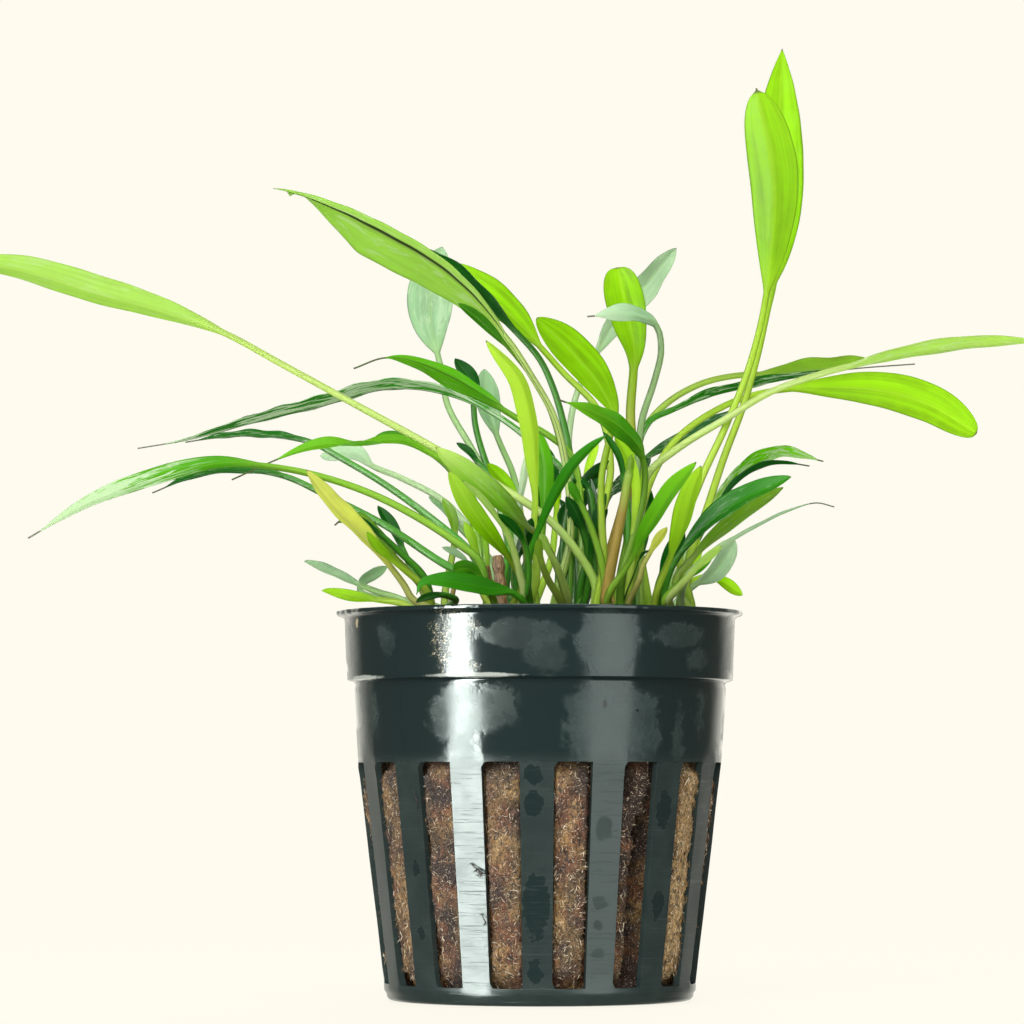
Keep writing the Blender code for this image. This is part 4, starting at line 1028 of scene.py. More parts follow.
def turned_point(radius, degrees, height):
    """A point on a circle round the pot's axis, with 0 degrees at the front and 90 on the right."""
    angle = math.radians(degrees)
    return Vector((radius * math.sin(angle), -radius * math.cos(angle), height))


def pot_sections():
    """Rows of (outer radius, height, inner radius, height), from the floor's slots up to the lip."""
    rows = [
        (7.5, 0.0, 7.5, 1.0),
        (16.0, 0.0, 16.0, 1.0),
        (19.0, 0.0, 18.6, 1.0),
        (19.45, 0.12, 18.8, 1.1),
        (19.75, 0.45, 19.0, 1.3),
        (19.85, 1.0, 19.1, 1.6),
        (20.1, 1.3, 19.15, 1.8),
        (20.15, 1.9, 19.2, 2.0),
    ]
    for k in range(SLOT_ROWS + 1):
        share = k / SLOT_ROWS
        height = SLOT_FOOT + share * (SLOT_HEAD - SLOT_FOOT)
        outer = SLOT_FOOT_RADIUS + share * (SLOT_HEAD_RADIUS - SLOT_FOOT_RADIUS)
        rows.append((outer, height, outer - WALL, height))
    for k in range(1, BODY_ROWS + 1):
        share = k / BODY_ROWS
        height = SLOT_HEAD + share * (LEDGE - SLOT_HEAD)
        outer = SLOT_HEAD_RADIUS + share * 0.58
        rows.append((outer, height, outer - WALL, height + 0.4 * share))
    rows += [
        (24.05, 40.15, 23.2, 40.7),
        (23.98, 40.45, 23.3, 41.0),
        (24.1, 40.75, 23.6, 41.3),
        (24.75, 40.95, 23.95, 41.6),
        (24.98, 41.1, 24.1, 41.9),
        (25.02, BAND_FOOT, 24.12, 42.2),
    ]
    for k in range(1, BAND_ROWS + 1):
        share = k / BAND_ROWS
        height = BAND_FOOT + share * (BAND_HEAD - BAND_FOOT)
        rows.append((25.02 + 0.26 * share, height, 24.12 + 0.26 * share, height + 0.4 * (1 - share)))
    rows += [
        (25.34, 49.05, 24.4, 49.2),
        (25.6, 49.28, 24.4, 49.4),
        (26.05, 49.4, 24.42, 49.6),
        (26.22, 49.55, 24.45, 49.75),
        (26.22, 49.85, 24.52, 49.9),
        (26.1, 50.0, 24.65, 50.0),
    ]
    return rows


def pot_columns():
    """Angles round the pot, each with its share of the way across a slot, or none on a rib."""
    columns = []
    for k in range(SLOT_COUNT):
        start = FIRST_SLOT_AT + k * SLOT_PITCH - SLOT_ANGLE / 2
        columns += [(start + SLOT_ANGLE * j / SLOT_STEPS, j / SLOT_STEPS) for j in range(SLOT_STEPS)]
        rib = SLOT_PITCH - SLOT_ANGLE
        columns += [(start + SLOT_ANGLE + rib * j / RIB_STEPS, None) for j in range(RIB_STEPS)]
    return columns


def corner_drop(share, radius):
    """How far a slot's rounded end falls short of its full length, at a share of the way across."""
    away = min(share, 1 - share) * math.radians(SLOT_ANGLE) * radius
    if away >= SLOT_CORNER:
        return 0.0
    return SLOT_CORNER - math.sqrt(SLOT_CORNER**2 - (SLOT_CORNER - away) ** 2)


def rib_share(angle, height):
    """The share of the radius that is left on a rib, which is nearly flat where a round pot bulges."""
    half = (SLOT_PITCH - SLOT_ANGLE) / 2
    off = (angle - FIRST_SLOT_AT) % SLOT_PITCH - SLOT_PITCH / 2
    if abs(off) > half:
        return 1.0
    fading = held((RIB_FLAT_TO - height) / 3.0) * held(height - 1.2)
    chord = math.cos(math.radians(half)) / math.cos(math.radians(off))
    return 1 - RIB_FLATNESS * fading * (1 - chord)


def pot_point(row, column, outside, ends):
    """A point of the pot's skin, with the rounding of the slots' ends and a slight waviness."""
    outer, high_out, inner, high_in = row
    angle, share = column
    radius, height = (outer, high_out) if outside else (inner, high_in)
    if outside:
        radius *= rib_share(angle, height)
    if share is not None and height in ends:
        height += ends[height] * corner_drop(share, radius)
    point = turned_point(radius, angle, height)
    warp = POT_WARP * noise.noise(point / 7.0) + 0.5 * POT_WARP * noise.noise(point / 2.5)
    if height > 49.3 and outside:
        left = max(0.0, math.cos(math.radians(angle + 78.0))) ** 3
        warp += LIP_FLASH * (0.35 + left) * noise.noise(point / 1.3 + Vector((7.0, 0.0, 0.0)))
    side = Vector((point.x, point.y, 0.0)).normalized()
    return point + warp * side * (1.0 if height > 0.2 else 0.0)


def pot_faces(row_count, open_column, slot_from):
    """The faces of the pot's two skins, of its lip, and round the sides and ends of each slot."""
    slotted = {0, *range(slot_from, slot_from + SLOT_ROWS)}
    count = len(open_column)
    inside = row_count * count
    faces = [list(range(count)), list(range(inside, inside + count))]
    for row in range(row_count - 1):
        low, high = row * count, (row + 1) * count
        for c in range(count):
            n = (c + 1) % count
            if row in slotted and open_column[c]:
                continue
            for skin in (0, inside):
                faces.append([skin + low + c, skin + low + n, skin + high + n, skin + high + c])
    top = (row_count - 1) * count
    for c in range(count):
        n = (c + 1) % count
        faces.append([top + c, top + n, inside + top + n, inside + top + c])
    first_rows = {0, slot_from}
    last_rows = {1, slot_from + SLOT_ROWS}
    for c in range(count):
        n = (c + 1) % count
        for row in first_rows | last_rows:
            if open_column[c]:
                low = row * count
                faces.append([low + c, low + n, inside + low + n, inside + low + c])
        if open_column[c] != open_column[n]:
            for row in slotted:
                low, high = row * count + n, (row + 1) * count + n
                faces.append([low, high, inside + high, inside + low])
    return faces


def make_pot(finish):
    """The pot as two skins, joined at the lip and round the sides of each slot, with soft edges."""
    rows, columns = pot_sections(), pot_columns()
    slot_from = next(k for k, row in enumerate(rows) if row[1] == SLOT_FOOT)
    ends = {SLOT_FOOT: 1.0, SLOT_HEAD: -1.0}
    verts = [
        pot_point(row, column, outside, ends)
        for outside in (True, False) for row in rows for column in columns
    ]
    open_column = [share is not None for _, share in columns]
    mesh = bpy.data.meshes.new("pot")
    mesh.from_pydata([point * MM for point in verts], [], pot_faces(len(rows), open_column, slot_from))
    face_out(mesh)
    mesh.shade_smooth()
    mesh.set_sharp_from_angle(angle=math.radians(40))
    pot = add_piece("pot", mesh, finish, "plastic", "net_pot")
    soft = pot.modifiers.new("soft edges", "BEVEL")
    soft.width = 0.13 * MM
    soft.segments = 2
    soft.limit_method = "ANGLE"
    soft.angle_limit = math.radians(40)
    soft.harden_normals = True
    return pot


def pot_finish():
    """Dark plastic that has been wet: glossy and dull patches, water marks and scratches, with painted glints
    beside the highlight, a painted highlight on the edge under the band, and painted shade in pits.
    """
    f = Finish("plastic")
    place = f.millimetres()
    _, depth, height = f.add("SeparateXYZ", {0: place}).outputs
    wander = f.noise(place, 0.9, 2.0, 0.6)
    ragged = f.noise(place, 0.45, 6.0, 0.62, 0.8)
    grains = f.noise(place, 4.2, 2.0, 0.7)
    on_ribs = f.ramp(height, 30.0, 32.0, 1.0, 0.0, smooth=True)
    above = f.math("SUBTRACT", 1.0, on_ribs)
    blotch = f.noise(f.stretched(place, 0.10, 0.10, 0.15), 1.0, 5.0, 0.6, 0.7)
    at_back = f.ramp(depth, -11.0, -8.0)
    scattered = f.times(f.ramp(blotch, 0.46, 0.50), at_back)
    in_front = f.math("SUBTRACT", 1.0, at_back)
    placed = f.times(marks(f, place, ragged, DULL_PATCHES, 6.0, 0.5), in_front)
    film = f.times(f.math("MAXIMUM", scattered, placed), above)
    film = f.times(film, f.ramp(f.noise(place, 0.3, 4.0, 0.6), 0.35, 0.6, 0.65, 1.0))
    spots = marks(f, place, wander, WATER_MARKS, 1.6, 0.08)
    wet = f.math("MAXIMUM", f.math("SUBTRACT", above, film, clamp=True), spots)
    glint_speckled = marks(f, place, ragged, GLINT_SPECKLES, 6.0, 0.8)
    glint_specks = f.times(f.ramp(grains, 0.56, 0.60), glint_speckled)
    edge_highlight = marks(f, place, ragged, HIGHLIGHT_EDGE, 6.0, 1.0)
    pit_shade = marks(f, place, wander, SHADED_PITS, 0.6, 0.05)
    tan = marks(f, place, wander, TAN_SPOTS, 0.8, 0.08)

    faint = f.ramp(f.noise(place, 0.25, 5.0, 0.65), 0.42, 0.7)
    scratch = f.noise(f.stretched(place, 0.12, 0.12, 7.0), 1.0, 3.0, 0.8)
    scored = f.times(f.ramp(scratch, 0.60, 0.66), on_ribs)
    colour = f.mix(faint, *PLASTIC)
    colour = f.mix(film, colour, DULL_FILM)
    colour = f.mix(wet, colour, WET)
    colour = f.mix(f.times(scored, 0.3), colour, SCORED)
    # painted glints: pale golden specks beside the highlight
    colour = f.mix(glint_specks, colour, PAINTED_GLINT)
    # painted highlight on the edge under the band
    colour = f.mix(f.times(edge_highlight, 0.8), colour, PAINTED_EDGE_HIGHLIGHT)
    # painted shade in the pits
    colour = f.mix(pit_shade, colour, PIT_SHADE)
    colour = f.mix(tan, colour, TAN_SPOT)

    dull = f.ramp(faint, 0.0, 1.0, 0.28, 0.34)
    spread = f.between(wet, dull, 0.12)
    matt = marks(f, place, wander, MATT_MARKS, 1.6, 0.15)
    spread = f.between(matt, spread, 0.55)
    relief = f.plus(f.times(scored, -0.35), f.times(wander, 0.4))
    relief = f.plus(relief, f.times(f.times(grains, glint_speckled), 1.5))
    relief = f.plus(relief, f.times(film, 0.5))
    normal = f.bump(relief, 0.3, 0.00006)
    surface = f.add("BsdfPrincipled", {
        "Base Color": colour, "Roughness": spread, "Normal": normal,
        "Specular Tint": (*PLASTIC_SHEEN, 1.0)})
    return f.close(surface.outputs[0])


def marks(f, place, wander, table, reach, softness):
    """Where marks lie on the pot: ragged rounds, each as its row in the table says."""
    uneven = f.times(f.math("SUBTRACT", wander, 0.5), reach)
    found = None
    for bearing, height, radius, tall in table:
        point = turned_point(pot_radius(height), bearing, height)
        flat = f.stretched(place, 1.0, 1.0, 1.0 / tall)
        centre = (point.x, point.y, point.z / tall)
        away = f.add("VectorMath", {0: flat, 1: centre}, operation="DISTANCE").outputs["Value"]
        inside = f.ramp(f.plus(away, uneven), radius - softness, radius + softness, 1.0, 0.0)
        found = inside if found is None else f.math("MAXIMUM", found, inside)
    return found


def pot_radius(height):
    """The radius of the pot's outside at a height."""
    rows = pot_sections()
    return float(np.interp(height, [row[1] for row in rows], [row[0] for row in rows]))


def wool_outline():
    """Points (radius, height) up the side of the wool and over its top, as on its solid."""
    corners = [
        (14.0, 1.35), (17.6, 1.4), *WOOL_SIDE, (22.6, 39.8), (22.9, 43.5), (21.8, 45.8),
        (19.6, WOOL_TOP), (14.0, WOOL_TOP + 0.1), (7.0, WOOL_TOP + 0.2), (1.0, WOOL_TOP + 0.2),
    ]
    lengths = [0.0]
    for a, b in zip(corners, corners[1:]):
        lengths.append(lengths[-1] + math.dist(a, b))
    wanted = np.linspace(0.0, lengths[-1], WOOL_ROWS)
    radius = np.interp(wanted, lengths, [r for r, _ in corners])
    height = np.interp(wanted, lengths, [z for _, z in corners])
    return list(zip(radius, height))


def wool_depth(point, degrees):
    """How far the wool's surface lies inside its outline there: lumps, furrows, hollows and bulges."""
    lump = 0.9 * noise.noise(point / 4.5) + 0.6 * noise.noise(point / 1.6) + 0.35 * noise.noise(point / 0.7)
    depth = 0.55 - 0.6 * lump
    off_slot = (degrees - FIRST_SLOT_AT + SLOT_PITCH / 2) % SLOT_PITCH - SLOT_PITCH / 2
    across = max(0.0, 1 - (off_slot / (0.52 * SLOT_ANGLE)) ** 2)
    ends = held((point.z - SLOT_FOOT) / 2.0) * held((SLOT_HEAD - point.z) / 2.0)
    bearing = (degrees + 180.0) % 360.0 - 180.0
    depth -= float(np.interp(bearing, WOOL_BEARINGS, WOOL_BULGE)) * min(1.0, 4.0 * across) * ends
    for at, low, high, width, deep in HOLLOWS:
        off = (degrees - at) / width
        along = (point.z - 0.5 * (low + high)) / (0.5 * (high - low))
        wander = 0.35 * noise.noise(Vector((at, point.z / 3.0, 0.0)))
        inside = max(0.0, 1 - (off + wander) ** 2) * max(0.0, 1 - along**4)
        depth += deep * min(1.0, 2.2 * inside)
    return max(-1.6, depth)


def wool_point(radius, height, degrees):
    """A point of the wool's surface, at a place on its outline."""
    on_top = held((float(height) - 44.0) / 2.4)
    point = turned_point(float(radius), float(degrees), float(height))
    depth = wool_depth(point, float(degrees))
    side = Vector((point.x, point.y, 0.0)).normalized()
    inward = side * (1 - on_top) + Vector((0.0, 0.0, 1.0)) * on_top
    return point - (0.3 + depth) * inward


def wool_shade(points):
    """How tan the wool is at each point, from 0 to 1.5: by its bearing, and paler in some lumps. The bearing
    table holds painted light at 55 degrees and painted shade near 38 degrees.
    """
    bearing = np.degrees(np.arctan2(points[:, 0], -points[:, 1]))
    tan = np.interp(bearing, WOOL_BEARINGS, WOOL_TAN_LIGHT_AND_SHADE)
    wash = np.array([noise.noise(Vector(p) / 3.6) + 0.6 * noise.noise(Vector(p) / 1.5) for p in points])
    low = np.clip((20.0 - points[:, 2]) / 18.0, 0.0, 1.0)
    return np.clip(tan + 0.8 * wash + 0.12 * low, 0.0, 1.5)


def make_wool(finish):
    """The plug of rock wool, lumpy all over, filling the pot inside its wall and its slots."""
    rings = np.array([
        [wool_point(radius, height, 360.0 * c / WOOL_COLUMNS) for c in range(WOOL_COLUMNS)]
        for radius, height in wool_outline()
    ])
    mesh = ring_mesh("wool", rings * MM)
    add_number(mesh, "shade", wool_shade(rings.reshape(-1, 3)))
    return add_piece("wool", mesh, finish, "wool", "rock_wool")


def wool_finish():
    """Brown mineral fibre: painted shadow between its strands and in its gaps, tan, orange and red-brown,
    with painted pale glints.
    """
    f = Finish("wool")
    place = f.millimetres()
    shade = f.add("Attribute", attribute_name="shade").outputs["Fac"]
    hue = f.noise(f.stretched(place, 0.22, 0.22, 0.16), 1.0, 2.0, 0.5)
    strands = f.noise(f.stretched(place, 1.6, 1.6, 0.9), 1.0, 5.0, 0.75, 1.4)
    grit = f.noise(place, 2.6, 4.0, 0.8)
    glint_specks = f.noise(place, 4.6, 3.0, 0.8)
    warm = f.mix(f.ramp(hue, 0.44, 0.56), *WOOL_WARM)
    tan = f.mix(f.ramp(shade, 0.55, 0.95), warm, WOOL_LIGHT)
    # painted light where the tan runs above 1, in the slot at 55 degrees
    tan = f.mix(f.ramp(shade, 1.0, 1.4), tan, WOOL_PAINTED_LIGHT)
    brown = f.mix(f.ramp(shade, 0.05, 0.5), WOOL_BROWN, tan)
    mixed = f.mix(f.ramp(strands, 0.38, 0.60), WOOL_SHADOW, brown)
    # painted shade in the gaps between the grains
    gap_shaded = f.mix(f.ramp(grit, 0.38, 0.50, 0.85, 0.0), mixed, WOOL_GAP_SHADE)
    # painted glints
    bright = f.mix(f.ramp(glint_specks, 0.60, 0.66), gap_shaded, WOOL_GLINT)
    relief = f.plus(f.times(strands, 0.7), f.times(grit, 0.6))
    normal = f.bump(relief, 1.0, 0.0006)
    surface = f.add("BsdfPrincipled", {"Base Color": bright, "Roughness": 0.7, "Normal": normal})
    return f.close(surface.outputs[0])


def fibre_mesh(name, starts, outward, rng, lengths, widths, lift):
    """Many fine curved fibres as one joined mesh, each of them a closed thread with three sides."""
    count = len(starts)
    helper = rng.normal(size=(count, 3))
    along = unit_rows(np.cross(outward, helper))
    bend = np.cross(outward, along)
    own = np.clip(0.6 * wool_shade(starts) + rng.normal(0.0, 0.22, count), 0.0, 0.8)
    glints = rng.uniform(0, 1, count) < GLINT_SHARE
    shade = np.where(glints, rng.uniform(0.85, 1.0, count), own)
    reach = rng.uniform(*lengths, count)[:, None] * np.where(glints, 0.7, 1.0)[:, None]
    width = rng.uniform(*widths, count)[:, None] * np.where(glints, 1.5, 1.0)[:, None]
    rise = rng.uniform(*lift, count)[:, None]
    curl = rng.uniform(-0.35, 0.35, count)[:, None]
    stations = []
    for t in (0.0, 0.5, 1.0):
        middle = starts + along * reach * (t - 0.5) + bend * reach * curl * (t - 0.5) ** 2 * 2
        middle = middle + outward * rise * reach * (t * (1.4 - 0.6 * t))
        size = width * (0.6, 1.0, 0.35)[int(2 * t)]
        ring = []
        for k in range(3):
            angle = 2 * math.pi * k / 3
            ring.append(middle + size * (math.cos(angle) * outward + math.sin(angle) * bend))
        stations.append(ring)
    points = np.array(stations).transpose(2, 0, 1, 3).reshape(-1, 3)
    sides = []
    for step in (0, 1):
        for k in range(3):
            n = (k + 1) % 3
            sides.append((3 * step + k, 3 * step + n, 3 * step + 3 + n, 3 * step + 3 + k))
    base = 9 * np.arange(count)[:, None, None]
    quads = (base + np.array(sides)).reshape(-1, 4).tolist()
    caps = (base + np.array([(2, 1, 0), (6, 7, 8)])).reshape(-1, 3).tolist()
    mesh = bpy.data.meshes.new(name)
    mesh.from_pydata((points * MM).tolist(), [], quads + caps)
    add_number(mesh, "shade", np.repeat(shade, 9))
    mesh.shade_smooth()
    return mesh


def fibre_finish():
    """Fibres from dark brown through tan to cream, a little glassy; the cream ones are painted glints."""
    f = Finish("fibres")
    shade = f.add("Attribute", attribute_name="shade").outputs["Fac"]
    dark = f.mix(f.ramp(shade, 0.05, 0.4), FIBRES[0], FIBRES[1])
    tan = f.mix(f.ramp(shade, 0.4, 0.8), dark, FIBRES[2])
    pale = f.mix(f.ramp(shade, 0.84, 0.95), tan, FIBRES[3])
    surface = f.add("BsdfPrincipled", {"Base Color": pale, "Roughness": 0.4})
    return f.close(surface.outputs[0])


def make_fibres(finish):
    """Fibres that lie on the wool in every slot, and others that stand out of its top."""
    rng = np.random.default_rng(FIBRE_SEED)
    starts, outward = [], []
    for _ in range(SLOT_FIBRES):
        slot = FIRST_SLOT_AT + SLOT_PITCH * rng.integers(SLOT_COUNT)
        degrees = slot + rng.uniform(-0.56, 0.56) * SLOT_ANGLE
        height = rng.uniform(SLOT_FOOT, SLOT_HEAD)
        radius = np.interp(height, [z for _, z in WOOL_SIDE], [r for r, _ in WOOL_SIDE])
        point = wool_point(radius, height, degrees)
        starts.append(point)
        outward.append(Vector((point.x, point.y, 0.0)).normalized())
    mesh = fibre_mesh(
        "slot_fibres", np.array(starts), np.array(outward), rng, (0.3, 1.3), (0.014, 0.038), (-0.05, 0.5))
    add_piece("wool_slot_fibres", mesh, finish, "wool")
    starts = []
    for _ in range(TOP_FIBRES):
        radius = 21.0 * math.sqrt(rng.uniform(0, 1))
        starts.append(wool_point(radius, WOOL_TOP - 0.5 * (radius > 19.5), rng.uniform(0, 360)))
    outward = np.tile((0.0, 0.0, 1.0), (TOP_FIBRES, 1))
    mesh = fibre_mesh("top_fibres", np.array(starts), outward, rng, (0.8, 3.0), (0.02, 0.05), (0.0, 0.45))
    add_piece("wool_top_fibres", mesh, finish, "wool")


class Tint(NamedTuple):
    """How a leaf looks: its colours by reflected and by passing light, its streaks and its gloss."""

    face: tuple
    glow: tuple
    stalk: tuple
    foot: tuple
    paler: tuple
    streak: float
    passing: float
    rough: float
    coat: float


TINTS = {
    "lime": Tint((0.25, 0.47, 0.003), (0.52, 0.82, 0.001), (0.60, 0.84, 0.08), (0.34, 0.55, 0.04),
                 (0.80, 1.0, 0.20), 0.3, 0.74, 0.45, 0.03),
    "green": Tint((0.08, 0.36, 0.003), (0.28, 0.70, 0.001), (0.36, 0.68, 0.06), (0.10, 0.36, 0.02),
                  (0.42, 0.82, 0.04), 0.45, 0.62, 0.4, 0.08),
    "dark": Tint((0.005, 0.15, 0.005), (0.02, 0.42, 0.002), (0.10, 0.42, 0.03), (0.01, 0.16, 0.01),
                 (0.08, 0.50, 0.006), 0.9, 0.42, 0.34, 0.10),
    "soft": Tint((0.33, 0.56, 0.09), (0.44, 0.76, 0.05), (0.62, 0.80, 0.20), (0.34, 0.56, 0.08),
                 (0.78, 0.95, 0.36), 0.3, 0.6, 0.5, 0.03),
    "pale": Tint((0.40, 0.62, 0.36), (0.46, 0.72, 0.44), (0.44, 0.70, 0.26), (0.30, 0.54, 0.12),
                 (0.84, 0.95, 0.76), 0.45, 0.5, 0.5, 0.05),
    "olive": Tint((0.22, 0.42, 0.02), (0.40, 0.70, 0.01), (0.46, 0.66, 0.10), (0.30, 0.44, 0.06),
                  (0.64, 0.86, 0.15), 0.5, 0.5, 0.45, 0.06),
    "yellow": Tint((0.66, 0.74, 0.12), (0.90, 0.94, 0.12), (0.74, 0.78, 0.20), (0.54, 0.56, 0.12),
                   (0.92, 0.96, 0.50), 0.4, 0.6, 0.5, 0.03),
}


def darkened(colour, share):
    """The colour with only that share of its light."""
    return tuple(share * c for c in colour)


def leaf_finish(name, tint):
    """Waxy leaf: veins along it, a pale midrib, a paler stalk with painted shade down its sides, painted
    shade along its edges, and light that passes through.
    """
    f = Finish("leaf " + name)
    facts = f.add("Attribute", attribute_name="leaf").outputs["Vector"]
    across, along, tone = f.add("SeparateXYZ", {0: facts}).outputs
    look = f.add("Attribute", attribute_name="look").outputs["Vector"]
    light, brown, patch = f.add("SeparateXYZ", {0: look}).outputs
    off_middle = f.math("ABSOLUTE", across)
    place = f.millimetres()
    lengthwise = f.add("CombineXYZ", {0: f.times(across, 6.0),
                                      1: f.times(along, 2.2), 2: f.times(tone, 40.0)})
    lengthwise = lengthwise.outputs[0]
    veins = f.noise(f.stretched(lengthwise, 2.4, 0.7, 1.0), 1.0, 3.0, 0.6)
    washes = f.noise(lengthwise, 0.55, 3.0, 0.55, 0.5)
    mottle = f.noise(place, 0.45, 4.0, 0.6)
    film = f.noise(f.stretched(lengthwise, 0.8, 3.2, 1.0), 1.0, 3.0, 0.6, 0.8)
    covered = f.ramp(f.plus(film, f.times(patch, 0.08)), 0.58, 0.66)
    # milky film, which on the wet dark leaves also stands in for painted sheen
    film_and_sheen = f.times(covered, f.math("MINIMUM", f.times(patch, 0.75), 0.75))
    on_stalk = f.ramp(along, -0.12, 0.22, 1.0, 0.0, smooth=True)
    at_foot = f.ramp(along, -0.98, -0.6, 1.0, 0.0, smooth=True)
    # the painted shadow of the fold, drawn as a dark line along the keel
    fold_shadow = f.add("Attribute", attribute_name="rib").outputs["Fac"]
    line = f.times(f.ramp(off_middle, 0.05, 0.10, 1.0, 0.0), fold_shadow)
    midrib = f.ramp(off_middle, 0.04, 0.12, 1.0, 0.0, smooth=True)
    # painted shade along the blade's edges
    edge_shade = f.ramp(off_middle, 0.90, 0.99, 0.0, 1.0, smooth=True)
    # painted shade down the sides of the round stalk
    stalk_side_shade = f.ramp(off_middle, 0.5, 0.95, 0.0, 0.6, smooth=True)
    at_tip = f.ramp(along, 0.985, 1.0, 0.0, 0.8, smooth=True)
    browned = f.times(brown, f.ramp(along, -0.45, -0.02, 1.0, 0.0, smooth=True), clamp=True)
    paler = f.math("MAXIMUM", light, 0.0)
    darker = f.times(light, -1.0, clamp=True)

    def coloured(blade, stalk, foot):
        bright = tuple(min(1.0, 1.06 * c) for c in blade)
        deep = darkened(blade, 0.55)
        streaked = f.mix(f.ramp(veins, 0.35, 0.65, tint.streak, 0.0), bright, deep)
        washed = f.mix(f.ramp(washes, 0.42, 0.68, 0.0, 0.45), streaked, deep)
        patched = f.mix(f.ramp(mottle, 0.45, 0.65, 0.0, 0.35), washed, bright)
        ribbed = f.mix(f.times(midrib, 0.4), patched, darkened(stalk, 0.9))
        edge_shaded = f.mix(f.times(edge_shade, 0.5), ribbed, darkened(blade, 0.35))
        stalk_shaded = f.mix(stalk_side_shade, stalk, darkened(stalk, 0.35))
        stalked = f.mix(on_stalk, edge_shaded, stalk_shaded)
        lit = f.mix(f.times(paler, 0.8), stalked, tint.paler)
        # below zero, light darkens towards deep green: partly the leaf's own tone, partly painted shade
        dimmed = f.mix(f.times(darker, 0.9), lit, darkened(deep, 0.45))
        with_film_and_sheen = f.mix(film_and_sheen, dimmed, MILKY_FILM_AND_SHEEN)
        fold_shaded = f.mix(line, with_film_and_sheen, darkened(blade, 0.12))
        footed = f.mix(at_foot, fold_shaded, foot)
        old = f.mix(f.times(browned, 0.85), footed, BROWN)
        return f.mix(at_tip, old, DEAD)

    relief = f.plus(f.times(veins, 0.6), f.times(mottle, 0.4))
    relief = f.times(relief, f.ramp(along, 0.45, 0.85, 1.0, 0.1))
    normal = f.bump(relief, 0.35, 0.00022)
    rough = f.ramp(mottle, 0.3, 0.7, tint.rough - 0.08, tint.rough + 0.1)
    surface = f.add("BsdfPrincipled", {
        "Base Color": coloured(tint.face, tint.stalk, tint.foot), "Roughness": rough, "Normal": normal,
        "Specular IOR Level": 0.3, "Coat Weight": tint.coat, "Coat Roughness": 0.15})
    through = f.add("BsdfTranslucent", {
        "Color": coloured(tint.glow, tint.stalk, tint.foot), "Normal": normal})
    blocked = f.math("SUBTRACT", 1.0, f.math("MAXIMUM", f.times(film_and_sheen, 0.5), browned))
    shine = f.times(f.ramp(along, -0.6, 0.1, 0.4 * tint.passing, tint.passing), blocked)
    mixed = f.add("MixShader", {0: shine, 1: surface.outputs[0], 2: through.outputs[0]})
    return f.close(mixed.outputs[0])


def make_leaves():
    """Every leaf that stands for a solid, and then the young ones between them."""
    finishes = {name: leaf_finish(name, tint) for name, tint in TINTS.items()}
    number = 0
    for crown_name in CROWNS:
        for name, bearing in foot_bearings(crown_name).items():
            leaf, look = LEAVES[name], LOOKS.get(name, Look())
            points = leaf_points(leaf, bearing, LEAF_RING)
            mesh = leaf_mesh("fine_" + name, leaf, look, points, FINE, number)
            add_piece("fine_" + name, mesh, finishes[leaf.tint], "leaf_" + leaf.tint, "leaf_" + name)
            number += 1
    for name, (leaf, look) in YOUNG.items():
        points = leaf_points(leaf, young_bearing(leaf), YOUNG_RING)
        mesh = leaf_mesh("young_" + name, leaf, look, points, MEDIUM, number)
        add_piece("young_" + name, mesh, finishes[leaf.tint], "leaf_" + leaf.tint)
        number += 1


def set_camera():
    """The camera that took the photograph, as near as it can be found."""
    data = bpy.data.cameras.new("camera")
    data.sensor_width = SENSOR_WIDTH
    data.lens = CAMERA_LENS
    camera = bpy.data.objects.new("camera", data)
    camera.location = CAMERA_AT
    camera.rotation_euler = (math.radians(90 + CAMERA_TILT), 0.0, 0.0)
    bpy.context.scene.collection.objects.link(camera)
    bpy.context.scene.camera = camera


def set_world():
    """A cream studio: bright behind the plant, and dimmer in front, where the pot mirrors it."""
    world = bpy.data.worlds.new("studio")
    bpy.context.scene.world = world
    world.use_nodes = True
    nodes = Nodes(world.node_tree)
    place = nodes.add("TexCoord").outputs["Generated"]
    depth = nodes.add("SeparateXYZ", {0: place}).outputs[1]
    behind = nodes.ramp(depth, 0.62, 0.97, 0.14, 1.5, smooth=True)
    seen = nodes.add("LightPath").outputs["Is Camera Ray"]
    strength = nodes.between(seen, behind, 1.0)
    light = nodes.add("Background", {"Color": (*CREAM, 1.0), "Strength": strength})
    nodes.add("OutputWorld", {"Surface": light.outputs[0]})


def add_softbox(name, bearing, height, distance, width, tall, power, gloss=True, fill=True):
    """A soft light that looks at the plant, at a bearing in degrees from the front to the right.

    One without gloss isn't mirrored, and one without fill is only mirrored.
    """
    angle = math.radians(bearing)
    place = Vector((distance * math.sin(angle), -distance * math.cos(angle), height))
    data = bpy.data.lights.new(name, "AREA")
    data.shape = "RECTANGLE"
    data.size = width
    data.size_y = tall
    data.energy = power
    lamp = bpy.data.objects.new(name, data)
    lamp.location = place
    lamp.rotation_euler = (Vector((0.0, 0.0, 0.05)) - place).to_track_quat("-Z", "Y").to_euler()
    lamp.visible_camera = False
    lamp.visible_glossy = gloss
    lamp.visible_diffuse = fill
    lamp.visible_transmission = fill
    bpy.context.scene.collection.objects.link(lamp)


def set_lights():
    """Two boxes that the pot mirrors, two that fill in the shadows, and one overhead."""
    add_softbox("strip_left", -48.0, 0.05, 1.0, 0.25, 1.6, 46.0, fill=False)
    add_softbox("soft_right", 42.0, 0.15, 1.2, 0.66, 1.2, 7.2, fill=False)
    add_softbox("fill_front", -15.0, 0.5, 1.2, 1.0, 1.0, 20.0, gloss=False)
    add_softbox("fill_back", 170.0, 0.5, 1.2, 1.2, 1.2, 24.0, gloss=False)
    add_softbox("overhead", 10.0, 1.2, 0.3, 1.0, 1.0, 7.0)


